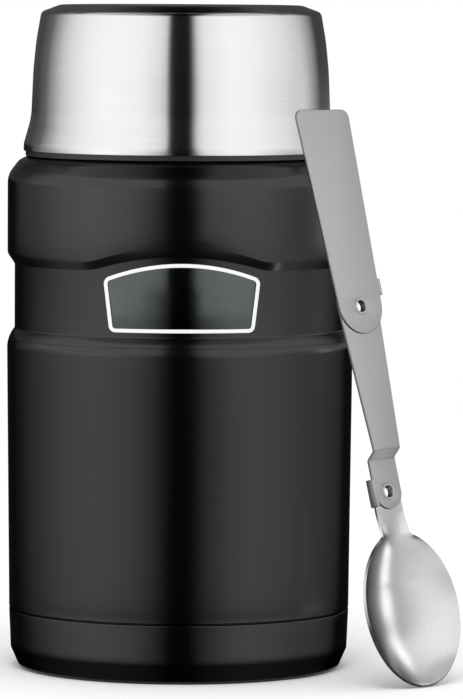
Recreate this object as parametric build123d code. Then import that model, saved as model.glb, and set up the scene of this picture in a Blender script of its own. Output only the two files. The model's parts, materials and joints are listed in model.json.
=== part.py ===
from build123d import *
import math
import os

# Insulated wide-mouth food jar with a screw-on bowl lid, a screw-in stopper
# and a folding spoon that stands beside it and leans over its shoulder.
# Millimetres, +Z up. The origin is on the jar's axis, on the floor it stands on.
# The badge faces -Y. The radii follow LOWER_RADIUS and the heights SHELF_Z.

# ---------------------------------------------------------------- walls and gaps
STEEL_WALL = 0.5
BASE_WALL = 0.8
WELD_GAP = 0.05
LOOSE_GAP = 0.1
THREAD_GAP = 0.3
RIM_GAP = 0.25
CUT_OVERRUN = 1.0

# ---------------------------------------------------------------- flask body
SHELF_Z = 149.7
SHOULDER_HEIGHT = 6.4
BULGE_HEIGHT = 19.3
UPPER_ROLL_HEIGHT = 5.7
WAIST_HEIGHT = 18.8
LOWER_ROLL_HEIGHT = 5.5
SEAM_Z = 17.3
SEAM_GROOVE = 0.3
SKIRT_BOTTOM = 6.5
CHAMFER_TOP = 5.7
FOOT_RECESS = 1.0
FOOT_LAND = 1.3

LOWER_RADIUS = 50.7
WAIST_DEPTH = 2.2
BULGE_SET_IN = 0.1
SHELF_SET_IN = 5.6
SEAM_SET_IN = 0.8
SKIRT_SET_IN = 1.4
CHAMFER_SET_IN = 0.5
FOOT_SET_IN = 2.5
ARCH_MARGIN = 2.6
ARCH_RISE = 5.3
ARCH_TAIL = 3.0

# Middle of each rolled edge: share of its step outwards, share of its height.
LOWER_ROLL = (0.7, 0.58)
UPPER_ROLL = (0.6, 0.4)
SHOULDER_ROLL = (0.7, 0.56)

# ---------------------------------------------------------------- food vessel
VACUUM_GAP = 4.5
VACUUM_FLOOR_GAP = 5.0
VESSEL_CORNER = 10.0
VESSEL_BEND = 4.0
VESSEL_SHOULDER_DROP = 15.7
VESSEL_NECK_DROP = 3.7
MOUTH_SET_IN = 6.0
MOUTH_HEIGHT = 18.3
FOIL_WALL = 0.15
FOIL_LOW_MARGIN = 10.0
FOIL_TOP_MARGIN = 5.0
GETTER_RADIUS = 6.0
GETTER_HEIGHT = 2.5
GETTER_OFFSET = 20.0
PLUG_RADIUS = 4.0
PLUG_HEIGHT = 2.0
PAD_SET_IN = 6.9
PAD_HOLE = 12.0

# ---------------------------------------------------------------- screw threads
THREAD_LEAD = 12.0
THREAD_STARTS = 3
THREAD_HEIGHT = 0.8
THREAD_ROOT_WIDTH = 1.7
THREAD_CREST_WIDTH = 0.9
THREAD_SWEEP = 100.0
THREAD_SINK = 0.25
COLLAR_WALL = 1.4
COLLAR_HEIGHT = 15.8
LID_THREAD_HEIGHT = 3.7
STOPPER_THREAD_HEIGHT = 1.3

# ---------------------------------------------------------------- stopper
STOPPER_WALL = 1.0
STOPPER_FLOOR = 1.5
STOPPER_DEPTH = 30.5
SEAL_THICKNESS = 1.5
SEAL_OVERHANG = 0.8
GRIP_OVERHANG = 2.3
GRIP_HEIGHT = 6.5
GRIP_LIP = 1.5
GRIP_SCALLOPS = 30
SCALLOP_RADIUS = 1.9
SCALLOP_DEPTH = 0.7
COVER_WALL = 1.0
COVER_RIM = 1.0
COVER_RIM_SET_IN = 1.4
RECESS_DEPTH = 16.0
RECESS_FLOOR = 1.5

# ---------------------------------------------------------------- lid
LID_OVERHANG = 1.0
LID_LIP = 1.4
LID_BAND_HEIGHT = 2.25
LID_FLARE_HEIGHT = 7.4
LID_MIDDLE_SHARE = 14.0 / 22.6
LID_CROWN_HEIGHT = 10.4
LID_CORNER_DROP = 2.1
LID_CORNER_ROUND = 0.8
LID_BAND_SET_IN = 0.1
LID_FLARE_SET_IN = 2.2
LID_MIDDLE_SET_IN = 2.8
LID_CROWN_SET_IN = 3.65
LID_CORNER_SET_IN = 5.1
LID_FLAT_SET_IN = 10.7
LINER_WALL = 1.3
LINER_FLANGE = 2.6
LINER_STEP_GAP = 1.05
LINER_BOWL_SET_IN = 5.6
LINER_BOWL_ROUND = 5.0
LID_HEADROOM = 7.5
LID_FOAM_HEIGHT = 7.7
LID_FOAM_SET_IN = 1.3

# ---------------------------------------------------------------- badge
BADGE_TURN = 1.2
BADGE_WIDTH = 44.0
BADGE_LOW_MARGIN = 1.5
BADGE_SIDE_MARGIN = 2.1
BADGE_RISE = 2.5
BADGE_BORDER = 1.0
BADGE_ROUND = 1.6
BADGE_PLATE_THICKNESS = 0.35
BADGE_BORDER_THICKNESS = 0.6

# ---------------------------------------------------------------- folding spoon
# Unfolded, the spoon stands this far out of the mouth from the vessel's floor.
SPOON_PROUD = 13.4
SHEET = 1.0
RIVET_SPAN = 53.6
HANDLE_TOP_HALF = 10.3
HANDLE_END_HALF = 8.0
HANDLE_CORNER = 2.6
LINK_TOP_HALF = 7.4
LINK_LOW_HALF = 5.2
JOG_TO_RIVET = 9.6
JOG_LENGTH = 2.2
JOG_DEPTH = 3.1
TAB_LOW = 2.6
TAB_LENGTH = 4.8
TAB_GAP = 0.1
TANG_HALF = 5.0
TANG_NECK_HALF = 4.4
TANG_NECK_DROP = 1.0
TANG_FLARE = 1.5
TANG_OVERLAP = 3.0
FLANGE_HALF_LENGTH = 4.0
FLANGE_GAP = 0.4
FLANGE_RISE = 2.6
BOWL_LENGTH = 44.8
BOWL_HALF_WIDTH = 18.0
BOWL_DEPTH = 8.0
BOWL_WALL = 0.8
BOWL_START = 12.4
BOWL_RIM_LIFT = 1.5
RIVET_BORE = 1.65
RIVET_RADIUS = 2.05
RIVET_HEAD_RADIUS = 2.5
RIVET_HEAD = 0.3
RIVET_GAP = 0.05
RIVET_CLEARANCE = 1.0

# Where the spoon stands: the plane of its handle is turned FACING about the
# jar's axis from -Y, leans back by LEAN, and its rivet line is turned TWIST
# within that plane. The handle clears the shoulder edge by LEAN_GAP.
SPOON_FACING = 42.0
SPOON_LEAN = 14.4
SPOON_TWIST = 2.6
SPOON_ASIDE = 15.1
SPOON_LEAN_GAP = 0.8
SPOON_FLOOR_GAP = 0.05

# ---------------------------------------------------------------- derived heights
SHOULDER_Z = SHELF_Z - SHOULDER_HEIGHT
BULGE_BOTTOM = SHOULDER_Z - BULGE_HEIGHT
WAIST_TOP = BULGE_BOTTOM - UPPER_ROLL_HEIGHT
WAIST_BOTTOM = WAIST_TOP - WAIST_HEIGHT
LOWER_TOP = WAIST_BOTTOM - LOWER_ROLL_HEIGHT
FOOT_FLOOR = FOOT_RECESS + BASE_WALL
VACUUM_FLOOR_TOP = SKIRT_BOTTOM + STEEL_WALL
VESSEL_BOTTOM = VACUUM_FLOOR_TOP + VACUUM_FLOOR_GAP
VESSEL_SIDE_TOP = SHELF_Z - VESSEL_SHOULDER_DROP
VESSEL_NECK_BOTTOM = SHELF_Z - VESSEL_NECK_DROP
MOUTH_Z = SHELF_Z + MOUTH_HEIGHT
NECK_TOP = MOUTH_Z - STEEL_WALL
COLLAR_TOP = SHELF_Z + COLLAR_HEIGHT
THREAD_PITCH = THREAD_LEAD / THREAD_STARTS
LID_THREAD_Z = SHELF_Z + LID_THREAD_HEIGHT
STOPPER_THREAD_Z = SHELF_Z + STOPPER_THREAD_HEIGHT
STOPPER_BOTTOM = MOUTH_Z - STOPPER_DEPTH
FLANGE_BOTTOM = MOUTH_Z + SEAL_THICKNESS
GRIP_TOP = FLANGE_BOTTOM + GRIP_HEIGHT
COVER_TOP = GRIP_TOP + COVER_RIM
RECESS_Z = COVER_TOP - RECESS_DEPTH
COVER_BOTTOM = RECESS_Z - RECESS_FLOOR
LID_LIP_BOTTOM = SHELF_Z + RIM_GAP
LID_STEEL_BOTTOM = LID_LIP_BOTTOM + LID_LIP
LID_BAND_TOP = LID_STEEL_BOTTOM + LID_BAND_HEIGHT
LID_FLARE_TOP = LID_BAND_TOP + LID_FLARE_HEIGHT
LINER_BOWL_TOP = COVER_TOP + LID_HEADROOM
LINER_TOP = LINER_BOWL_TOP + LINER_WALL
LID_TOP = LINER_TOP + LID_FOAM_HEIGHT + STEEL_WALL
LID_CROWN_Z = LID_TOP - LID_CROWN_HEIGHT
LID_MIDDLE_Z = LID_FLARE_TOP + LID_MIDDLE_SHARE * (LID_CROWN_Z - LID_FLARE_TOP)
LID_CORNER_Z = LID_TOP - LID_CORNER_DROP
BADGE_BOTTOM = WAIST_BOTTOM + BADGE_LOW_MARGIN
BADGE_SIDE_TOP = WAIST_TOP - BADGE_SIDE_MARGIN
BADGE_TOP = WAIST_TOP + BADGE_RISE

# ---------------------------------------------------------------- derived radii
WAIST_RADIUS = LOWER_RADIUS - WAIST_DEPTH
BULGE_RADIUS = LOWER_RADIUS - BULGE_SET_IN
SHELF_RADIUS = BULGE_RADIUS - SHELF_SET_IN
SEAM_RADIUS = LOWER_RADIUS - SEAM_SET_IN
SKIRT_RADIUS = SEAM_RADIUS - SKIRT_SET_IN
BASE_INNER = SKIRT_RADIUS + LOOSE_GAP
CHAMFER_RADIUS = SEAM_RADIUS - CHAMFER_SET_IN
FOOT_RADIUS = CHAMFER_RADIUS - FOOT_SET_IN
VESSEL_RADIUS = WAIST_RADIUS - STEEL_WALL - VACUUM_GAP
MOUTH_RADIUS = VESSEL_RADIUS - MOUTH_SET_IN
NECK_RADIUS = MOUTH_RADIUS + 2 * STEEL_WALL + LOOSE_GAP
COLLAR_RADIUS = NECK_RADIUS + WELD_GAP + COLLAR_WALL
LINER_THREAD_RADIUS = COLLAR_RADIUS + THREAD_HEIGHT + THREAD_GAP
STOPPER_RADIUS = MOUTH_RADIUS - THREAD_HEIGHT - THREAD_GAP
STOPPER_BORE = STOPPER_RADIUS - STOPPER_WALL
COVER_RADIUS = STOPPER_BORE - LOOSE_GAP
RECESS_RADIUS = COVER_RADIUS - COVER_WALL
GRIP_RADIUS = MOUTH_RADIUS + GRIP_OVERHANG
COVER_RIM_RADIUS = GRIP_RADIUS - COVER_RIM_SET_IN
LID_RADIUS = SHELF_RADIUS + LID_OVERHANG
LINER_BOWL_RADIUS = LID_RADIUS - LINER_BOWL_SET_IN
LID_FLAT_RADIUS = LID_RADIUS - LID_FLAT_SET_IN
ARCH_HALF_CHORD = BADGE_WIDTH / 2 + ARCH_MARGIN

# ---------------------------------------------------------------- derived spoon sizes
HANDLE_LENGTH = MOUTH_Z - VESSEL_BOTTOM + SPOON_PROUD - RIVET_SPAN - BOWL_START - BOWL_LENGTH
RIVET_HOLE = RIVET_RADIUS + RIVET_GAP
TANG_FRONT = -SHEET - JOG_DEPTH
TANG_BACK = TANG_FRONT - SHEET
BOWL_RIM_Z = TANG_FRONT + BOWL_RIM_LIFT
BOWL_MIDDLE = -RIVET_SPAN - BOWL_START - BOWL_LENGTH / 2
LOWER_RIVET = Pos(0, -RIVET_SPAN, 0)


# ---------------------------------------------------------------- shared shapes
def on_profile(*lines):
    """Face in the XZ plane from a closed run of lines drawn as (radius, z)."""
    return make_face([Plane.XZ * line for line in lines])


def ring(points):
    """Solid of revolution about Z from a polygon of (radius, z) points."""
    return revolve(on_profile(Polyline(*points, close=True)), Axis.Z)


def tube(outer, inner, bottom, top):
    """Plain ring between two radii."""
    return ring([(inner, bottom), (outer, bottom), (outer, top), (inner, top)])


def disc(radius, bottom, top):
    """Plain disc on the axis."""
    return Pos(0, 0, bottom) * Cylinder(
        radius, top - bottom, align=(Align.CENTER, Align.CENTER, Align.MIN)
    )


def round_edges(form):
    """Circular edges of a turned form, the lowest first."""
    return form.edges().filter_by(GeomType.CIRCLE).sort_by(Axis.Z)


def between(low, high, share):
    """Value at a share of the way from low to high."""
    return low + share * (high - low)


def screw_ridges(root, outward, middle):
    """Thread ridges on a round wall: one helical ridge for each start.

    root is the wall's radius, outward is 1 on a shaft and -1 in a bore, and
    middle is the height of each ridge's middle.
    """
    rise = THREAD_LEAD * THREAD_SWEEP / 360
    half_root = THREAD_ROOT_WIDTH / 2
    half_crest = THREAD_CREST_WIDTH / 2
    ridge_path = Helix(pitch=THREAD_LEAD, height=rise, radius=root)
    start = Plane(origin=ridge_path @ 0, x_dir=(1, 0, 0), z_dir=ridge_path % 0)
    section = start * make_face(
        Polyline(
            (-outward * THREAD_SINK, -half_root),
            (outward * THREAD_HEIGHT, -half_crest),
            (outward * THREAD_HEIGHT, half_crest),
            (-outward * THREAD_SINK, half_root),
            close=True,
        )
    )
    ridge = sweep(section, path=ridge_path, is_frenet=True)
    ridge = Pos(0, 0, middle - rise / 2) * ridge
    step = 360 / THREAD_STARTS
    return [Rot(0, 0, index * step) * ridge for index in range(THREAD_STARTS)]


# ---------------------------------------------------------------- outer shell
def body_form(inset, overrun):
    """Solid form of the painted shell, drawn in by an inset.

    overrun lengthens both open ends, so that a smaller form cuts right through.
    """
    foot = SKIRT_BOTTOM - overrun
    skirt = SKIRT_RADIUS - inset
    seam = SEAM_Z + inset
    neck = NECK_RADIUS - inset
    neck_top = NECK_TOP + overrun
    lower = LOWER_RADIUS - inset
    waist = WAIST_RADIUS - inset
    bulge = BULGE_RADIUS - inset
    shelf = SHELF_RADIUS - inset / 2
    shelf_z = SHELF_Z - inset
    roll_in = (
        between(waist, lower, LOWER_ROLL[0]),
        between(LOWER_TOP, WAIST_BOTTOM, LOWER_ROLL[1]),
    )
    roll_out = (
        between(waist, bulge, UPPER_ROLL[0]),
        between(WAIST_TOP, BULGE_BOTTOM, UPPER_ROLL[1]),
    )
    roll_top = (
        between(shelf, bulge, SHOULDER_ROLL[0]),
        between(SHOULDER_Z, shelf_z, SHOULDER_ROLL[1]),
    )
    outline = on_profile(
        Polyline(
            (0, neck_top), (0, foot), (skirt, foot), (skirt, seam),
            (SEAM_RADIUS - inset, seam), (lower, LOWER_TOP),
        ),
        ThreePointArc((lower, LOWER_TOP), roll_in, (waist, WAIST_BOTTOM)),
        Line((waist, WAIST_BOTTOM), (waist, WAIST_TOP)),
        ThreePointArc((waist, WAIST_TOP), roll_out, (bulge, BULGE_BOTTOM)),
        Line((bulge, BULGE_BOTTOM), (bulge, SHOULDER_Z)),
        ThreePointArc((bulge, SHOULDER_Z), roll_top, (shelf, shelf_z)),
        Polyline((shelf, shelf_z), (neck, shelf_z), (neck, neck_top), (0, neck_top)),
    )
    return revolve(outline, Axis.Z)


def arch_recess(grow, radius):
    """Space cut from the bulge under the arch, outside the given radius."""
    half = ARCH_HALF_CHORD + grow
    low = WAIST_TOP - ARCH_TAIL
    crown = WAIST_TOP + ARCH_RISE + grow
    arch = make_face(
        [
            Polyline((half, WAIST_TOP), (half, low), (-half, low), (-half, WAIST_TOP)),
            ThreePointArc((-half, WAIST_TOP), (0, crown), (half, WAIST_TOP)),
        ]
    )
    block = extrude(Plane.XZ * arch, amount=2 * BULGE_RADIUS)
    return block - Cylinder(radius, 4 * WAIST_TOP)


def outer_shell():
    """Painted outer wall of the flask, with its waist, arch, shoulder and neck."""
    outside = body_form(0, 0) - arch_recess(0, WAIST_RADIUS)
    inside = body_form(STEEL_WALL, CUT_OVERRUN) - arch_recess(STEEL_WALL, WAIST_RADIUS - STEEL_WALL)
    return outside - inside


# ---------------------------------------------------------------- base and vacuum parts
def base_cap():
    """Painted bottom cup, pushed over the shell's skirt up to the seam."""
    rim = SEAM_Z - SEAM_GROOVE
    foot_inner = FOOT_RADIUS - FOOT_LAND
    outside = ring(
        [
            (0, FOOT_RECESS), (foot_inner, FOOT_RECESS), (foot_inner, 0), (FOOT_RADIUS, 0),
            (CHAMFER_RADIUS, CHAMFER_TOP), (SEAM_RADIUS, rim), (0, rim),
        ]
    )
    inside = ring(
        [
            (0, FOOT_FLOOR), (FOOT_RADIUS - BASE_WALL, FOOT_FLOOR),
            (BASE_INNER, CHAMFER_TOP), (BASE_INNER, SEAM_Z), (0, SEAM_Z),
        ]
    )
    return outside - inside


def vacuum_floor():
    """Steel bottom that closes the vacuum space."""
    return disc(SKIRT_RADIUS - STEEL_WALL - WELD_GAP, SKIRT_BOTTOM, VACUUM_FLOOR_TOP)


def getter():
    """Pellet that keeps the vacuum, on the vacuum floor."""
    pellet = disc(GETTER_RADIUS, VACUUM_FLOOR_TOP, VACUUM_FLOOR_TOP + GETTER_HEIGHT)
    return Pos(GETTER_OFFSET, 0, 0) * pellet


# ---------------------------------------------------------------- food vessel
def rounded_vessel(outline, corner):
    """Solid vessel form with its bottom corner and its neck bends rounded."""
    form = revolve(on_profile(outline), Axis.Z)
    form = fillet(round_edges(form)[0], corner)
    bends = [
        edge
        for edge in round_edges(form)
        if VESSEL_SIDE_TOP - STEEL_WALL < edge.center().Z < VESSEL_NECK_BOTTOM + STEEL_WALL
    ]
    return fillet(bends, VESSEL_BEND)


def food_outline():
    """Outline of the space inside the vessel's wall, open past the mouth."""
    bottom = VESSEL_BOTTOM + STEEL_WALL
    side = VESSEL_RADIUS - STEEL_WALL
    open_top = MOUTH_Z + CUT_OVERRUN
    slant_drop = STEEL_WALL / 4
    return Polyline(
        (0, bottom), (side, bottom), (side, VESSEL_SIDE_TOP - slant_drop),
        (MOUTH_RADIUS, VESSEL_NECK_BOTTOM - slant_drop), (MOUTH_RADIUS, open_top), (0, open_top),
        close=True,
    )


def inner_vessel():
    """Steel food vessel, welded to the shell at the mouth, with the stopper's thread."""
    neck = MOUTH_RADIUS + STEEL_WALL
    outline = Polyline(
        (0, VESSEL_BOTTOM), (VESSEL_RADIUS, VESSEL_BOTTOM), (VESSEL_RADIUS, VESSEL_SIDE_TOP),
        (neck, VESSEL_NECK_BOTTOM), (neck, MOUTH_Z), (0, MOUTH_Z),
        close=True,
    )
    outside = rounded_vessel(outline, VESSEL_CORNER)
    vessel = outside - rounded_vessel(food_outline(), VESSEL_CORNER - STEEL_WALL)
    vessel += tube(NECK_RADIUS, MOUTH_RADIUS, NECK_TOP, MOUTH_Z)
    for ridge in screw_ridges(MOUTH_RADIUS, -1, STOPPER_THREAD_Z + THREAD_PITCH / 2):
        vessel += ridge
    return vessel


def radiation_foil():
    """Copper foil wrapped on the vessel's side."""
    inner = VESSEL_RADIUS + LOOSE_GAP
    bottom = VESSEL_BOTTOM + FOIL_LOW_MARGIN
    return tube(inner + FOIL_WALL, inner, bottom, VESSEL_SIDE_TOP - FOIL_TOP_MARGIN)


def neck_collar():
    """Threaded ring round the neck that the lid screws on."""
    collar = tube(COLLAR_RADIUS, NECK_RADIUS + WELD_GAP, SHELF_Z, COLLAR_TOP)
    for ridge in screw_ridges(COLLAR_RADIUS, 1, LID_THREAD_Z + THREAD_PITCH / 2):
        collar += ridge
    return collar


# ---------------------------------------------------------------- badge
def badge_face(inset):
    """Badge outline in the XZ plane: straight sides, arched top."""
    half = BADGE_WIDTH / 2 - inset
    bottom = BADGE_BOTTOM + inset
    side_top = BADGE_SIDE_TOP - inset
    face = make_face(
        [
            Polyline((half, side_top), (half, bottom), (-half, bottom), (-half, side_top)),
            ThreePointArc((-half, side_top), (0, BADGE_TOP - inset), (half, side_top)),
        ]
    )
    return fillet(face.vertices(), BADGE_ROUND)


def badge_layer(face, thickness):
    """A badge face wrapped on the waist as a curved layer."""
    block = extrude(Plane.XZ * face, amount=2 * WAIST_RADIUS)
    wrap = tube(
        WAIST_RADIUS + thickness,
        WAIST_RADIUS + WELD_GAP,
        BADGE_BOTTOM - CUT_OVERRUN,
        BADGE_TOP + CUT_OVERRUN,
    )
    return Rot(0, 0, BADGE_TURN) * (block & wrap)


# ---------------------------------------------------------------- stopper
def stopper_body():
    """Threaded cup of the stopper with its scalloped grip ring."""
    floor = STOPPER_BOTTOM + STOPPER_FLOOR
    stopper = ring(
        [
            (0, STOPPER_BOTTOM), (STOPPER_RADIUS, STOPPER_BOTTOM),
            (STOPPER_RADIUS, FLANGE_BOTTOM), (GRIP_RADIUS, FLANGE_BOTTOM),
            (GRIP_RADIUS, GRIP_TOP), (STOPPER_BORE, GRIP_TOP), (STOPPER_BORE, floor), (0, floor),
        ]
    )
    for ridge in screw_ridges(STOPPER_RADIUS, 1, STOPPER_THREAD_Z):
        stopper += ridge
    scallop = Cylinder(SCALLOP_RADIUS, GRIP_HEIGHT, align=(Align.CENTER, Align.CENTER, Align.MIN))
    scallop = Pos(GRIP_RADIUS + SCALLOP_RADIUS - SCALLOP_DEPTH, 0, FLANGE_BOTTOM + GRIP_LIP) * scallop
    for index in range(GRIP_SCALLOPS):
        stopper -= Rot(0, 0, index * 360 / GRIP_SCALLOPS) * scallop
    return stopper


def stopper_cover():
    """Top of the stopper: a rim on the grip ring and the recess for the spoon."""
    return ring(
        [
            (0, COVER_BOTTOM), (COVER_RADIUS, COVER_BOTTOM), (COVER_RADIUS, GRIP_TOP),
            (COVER_RIM_RADIUS, GRIP_TOP), (COVER_RIM_RADIUS, COVER_TOP),
            (RECESS_RADIUS, COVER_TOP), (RECESS_RADIUS, RECESS_Z), (0, RECESS_Z),
        ]
    )


def stopper_foam():
    """Insulation between the stopper's cup and its cover."""
    return disc(STOPPER_BORE - LOOSE_GAP, STOPPER_BOTTOM + STOPPER_FLOOR, COVER_BOTTOM)


def stopper_seal():
    """Silicone ring between the grip ring and the mouth."""
    return tube(NECK_RADIUS + SEAL_OVERHANG, STOPPER_RADIUS + LOOSE_GAP, MOUTH_Z, FLANGE_BOTTOM)


# ---------------------------------------------------------------- lid
def lid_form(inset):
    """Solid form of the lid's steel wall, drawn in by an inset."""
    outer = LID_RADIUS - inset
    bottom = LID_STEEL_BOTTOM - inset
    top = LID_TOP - inset
    form = ring(
        [
            (0, bottom),
            (outer, bottom),
            (outer - LID_BAND_SET_IN, LID_BAND_TOP),
            (outer - LID_FLARE_SET_IN, LID_FLARE_TOP),
            (outer - LID_MIDDLE_SET_IN, LID_MIDDLE_Z),
            (outer - LID_CROWN_SET_IN, LID_CROWN_Z),
            (outer - LID_CORNER_SET_IN, LID_CORNER_Z - inset / 2),
            (outer - LID_FLAT_SET_IN, top),
            (0, top),
        ]
    )
    return fillet(round_edges(form)[-2:], LID_CORNER_ROUND)


def round_top(form, radius):
    """Round the highest edge of a turned form."""
    return fillet(round_edges(form)[-1], radius)


def lid_liner():
    """Plastic bowl of the lid, with its lip on the shelf and the lid's thread."""
    step = COLLAR_TOP + LINER_STEP_GAP
    flange = LID_RADIUS - STEEL_WALL - LOOSE_GAP
    flange_top = LID_LIP_BOTTOM + LINER_FLANGE
    thread_outside = LINER_THREAD_RADIUS + LINER_WALL
    bowl_outside = LINER_BOWL_RADIUS + LINER_WALL
    open_bottom = LID_LIP_BOTTOM - CUT_OVERRUN
    outside = ring(
        [
            (0, LID_LIP_BOTTOM), (flange, LID_LIP_BOTTOM), (flange, flange_top),
            (thread_outside, flange_top), (thread_outside, step),
            (bowl_outside, step + LINER_WALL), (bowl_outside, LINER_TOP), (0, LINER_TOP),
        ]
    )
    inside = ring(
        [
            (0, open_bottom), (LINER_THREAD_RADIUS, open_bottom), (LINER_THREAD_RADIUS, step),
            (LINER_BOWL_RADIUS, step + LINER_WALL), (LINER_BOWL_RADIUS, LINER_BOWL_TOP),
            (0, LINER_BOWL_TOP),
        ]
    )
    liner = round_top(outside, LINER_BOWL_ROUND + LINER_WALL) - round_top(inside, LINER_BOWL_ROUND)
    for ridge in screw_ridges(LINER_THREAD_RADIUS, -1, LID_THREAD_Z):
        liner += ridge
    return liner


# ---------------------------------------------------------------- folding spoon
# Spoon plane: x across, y up along the rivet line, z out of the handle's front.
# The upper rivet is at the origin; the back of the handle and the front of the
# link lie in the plane z = 0.
def plate(face, bottom, thickness=SHEET):
    """A flat sheet cut to a face, from the given height."""
    return extrude(Pos(0, 0, bottom) * face, amount=thickness)


def handle_half(y):
    """Half the handle's width at a distance above the upper rivet."""
    return between(HANDLE_END_HALF, HANDLE_TOP_HALF, y / HANDLE_LENGTH)


def spoon_handle():
    """Upper plate, round about the upper rivet and wider at its free end."""
    face = make_face(
        Polyline(
            (-HANDLE_END_HALF, 0), (HANDLE_END_HALF, 0),
            (HANDLE_TOP_HALF, HANDLE_LENGTH), (-HANDLE_TOP_HALF, HANDLE_LENGTH),
            close=True,
        )
    )
    face += Circle(HANDLE_END_HALF)
    face = fillet(face.vertices().sort_by(Axis.Y)[-2:], HANDLE_CORNER)
    return plate(face - Circle(RIVET_HOLE), 0)


def link_sheet():
    """Side view of the link: a sheet with a jog back below the upper rivet."""
    low = -RIVET_SPAN - LINK_LOW_HALF
    jog_end = -RIVET_SPAN + JOG_TO_RIVET
    jog_start = jog_end + JOG_LENGTH
    side = Polyline(
        (LINK_TOP_HALF, 0), (jog_start, 0), (jog_end, -JOG_DEPTH), (low, -JOG_DEPTH),
        (low, TANG_FRONT), (jog_end - SHEET / 2, TANG_FRONT),
        (jog_start - SHEET / 2, -SHEET), (LINK_TOP_HALF, -SHEET),
        close=True,
    )
    return extrude(make_face(Plane.YZ * side), amount=2 * LINK_TOP_HALF, both=True)


def stop_tab():
    """Tab of the link that turns up beside the handle."""
    inner = handle_half(TAB_LOW + TAB_LENGTH) + TAB_GAP
    middle = TAB_LOW + TAB_LENGTH / 2
    foot = Pos((inner + SHEET) / 2, middle, -SHEET / 2) * Box(inner + SHEET, TAB_LENGTH, SHEET)
    foot -= Cylinder(RIVET_HOLE + RIVET_CLEARANCE, 4 * SHEET)
    wall = Pos(inner + SHEET / 2, middle, 0) * Box(SHEET, TAB_LENGTH, 2 * SHEET)
    return foot + wall


def spoon_link():
    """Middle plate between the two rivets, with its jog and its stop tab."""
    outline = make_face(
        Polyline(
            (-LINK_TOP_HALF, 0), (LINK_TOP_HALF, 0),
            (LINK_LOW_HALF, -RIVET_SPAN), (-LINK_LOW_HALF, -RIVET_SPAN),
            close=True,
        )
    )
    outline += Circle(LINK_TOP_HALF)
    outline += LOWER_RIVET * Circle(LINK_LOW_HALF)
    outline -= Circle(RIVET_HOLE)
    outline -= LOWER_RIVET * Circle(RIVET_HOLE)
    cutter = plate(outline, TANG_BACK, JOG_DEPTH + 3 * SHEET)
    return (link_sheet() & cutter) + stop_tab()


def bowl_form(inset):
    """Ellipsoid whose lower half is the bowl, drawn in by an inset."""
    egg = scale(
        Sphere(1),
        by=(BOWL_HALF_WIDTH - inset, BOWL_LENGTH / 2 - inset, BOWL_DEPTH - inset),
    )
    return Pos(0, BOWL_MIDDLE, BOWL_RIM_Z) * egg


def tang_outline():
    """Outline of the flat tang about the lower rivet, with its flange foot."""
    neck_y = -RIVET_SPAN - TANG_HALF - TANG_NECK_DROP
    end_y = -RIVET_SPAN - BOWL_START - TANG_OVERLAP
    end_half = TANG_NECK_HALF + TANG_FLARE
    outline = make_face(
        Polyline(
            (-TANG_HALF, -RIVET_SPAN), (TANG_HALF, -RIVET_SPAN), (TANG_NECK_HALF, neck_y),
            (end_half, end_y), (-end_half, end_y), (-TANG_NECK_HALF, neck_y),
            close=True,
        )
    )
    outline += LOWER_RIVET * Circle(TANG_HALF)
    foot_width = LINK_LOW_HALF + FLANGE_GAP + SHEET
    outline += Pos(-foot_width / 2, -RIVET_SPAN) * Rectangle(foot_width, 2 * FLANGE_HALF_LENGTH)
    return outline - LOWER_RIVET * Circle(RIVET_HOLE)


def spoon_bowl():
    """Bowl with its tang under the link and the stop flange beside the link."""
    below_rim = Pos(0, BOWL_MIDDLE, BOWL_RIM_Z) * Box(
        4 * BOWL_HALF_WIDTH,
        2 * BOWL_LENGTH,
        4 * BOWL_DEPTH,
        align=(Align.CENTER, Align.CENTER, Align.MAX),
    )
    hollow = bowl_form(BOWL_WALL)
    scoop = (bowl_form(0) - hollow) & below_rim
    flange_x = -LINK_LOW_HALF - FLANGE_GAP - SHEET / 2
    flange = Pos(flange_x, -RIVET_SPAN, TANG_BACK) * Box(
        SHEET, 2 * FLANGE_HALF_LENGTH, FLANGE_RISE, align=(Align.CENTER, Align.CENTER, Align.MIN)
    )
    return scoop + (plate(tang_outline(), TANG_BACK) - hollow) + flange


def eyelet(bottom, top):
    """Hollow rivet between two sheet faces, with a thin head on each."""
    barrel = tube(RIVET_RADIUS, RIVET_BORE, bottom - RIVET_HEAD, top + RIVET_HEAD)
    heads = tube(RIVET_HEAD_RADIUS, RIVET_BORE, top, top + RIVET_HEAD)
    heads += tube(RIVET_HEAD_RADIUS, RIVET_BORE, bottom - RIVET_HEAD, bottom)
    return barrel + heads


def spoon_frame(slide_up):
    """Plane that carries the spoon's own frame beside the jar."""
    facing = math.radians(SPOON_FACING)
    lean = math.radians(SPOON_LEAN)
    twist = math.radians(SPOON_TWIST)
    normal = Vector(
        math.sin(facing) * math.cos(lean), -math.cos(facing) * math.cos(lean), math.sin(lean)
    )
    across = Vector(math.cos(facing), math.sin(facing), 0)
    along = normal.cross(across)
    stand_off = BULGE_RADIUS * math.cos(lean) + SHOULDER_Z * math.sin(lean) + SPOON_LEAN_GAP
    origin = normal * stand_off + across * SPOON_ASIDE + along * slide_up
    x_dir = across * math.cos(twist) + along * math.sin(twist)
    return Plane(origin=origin, x_dir=x_dir, z_dir=normal)


def standing_plane(bowl):
    """Spoon frame slid along its leaning plane until the bowl stands on the floor."""
    lowest = (spoon_frame(0) * bowl).bounding_box().min.Z
    return spoon_frame((SPOON_FLOOR_GAP - lowest) / math.cos(math.radians(SPOON_LEAN)))


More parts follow.
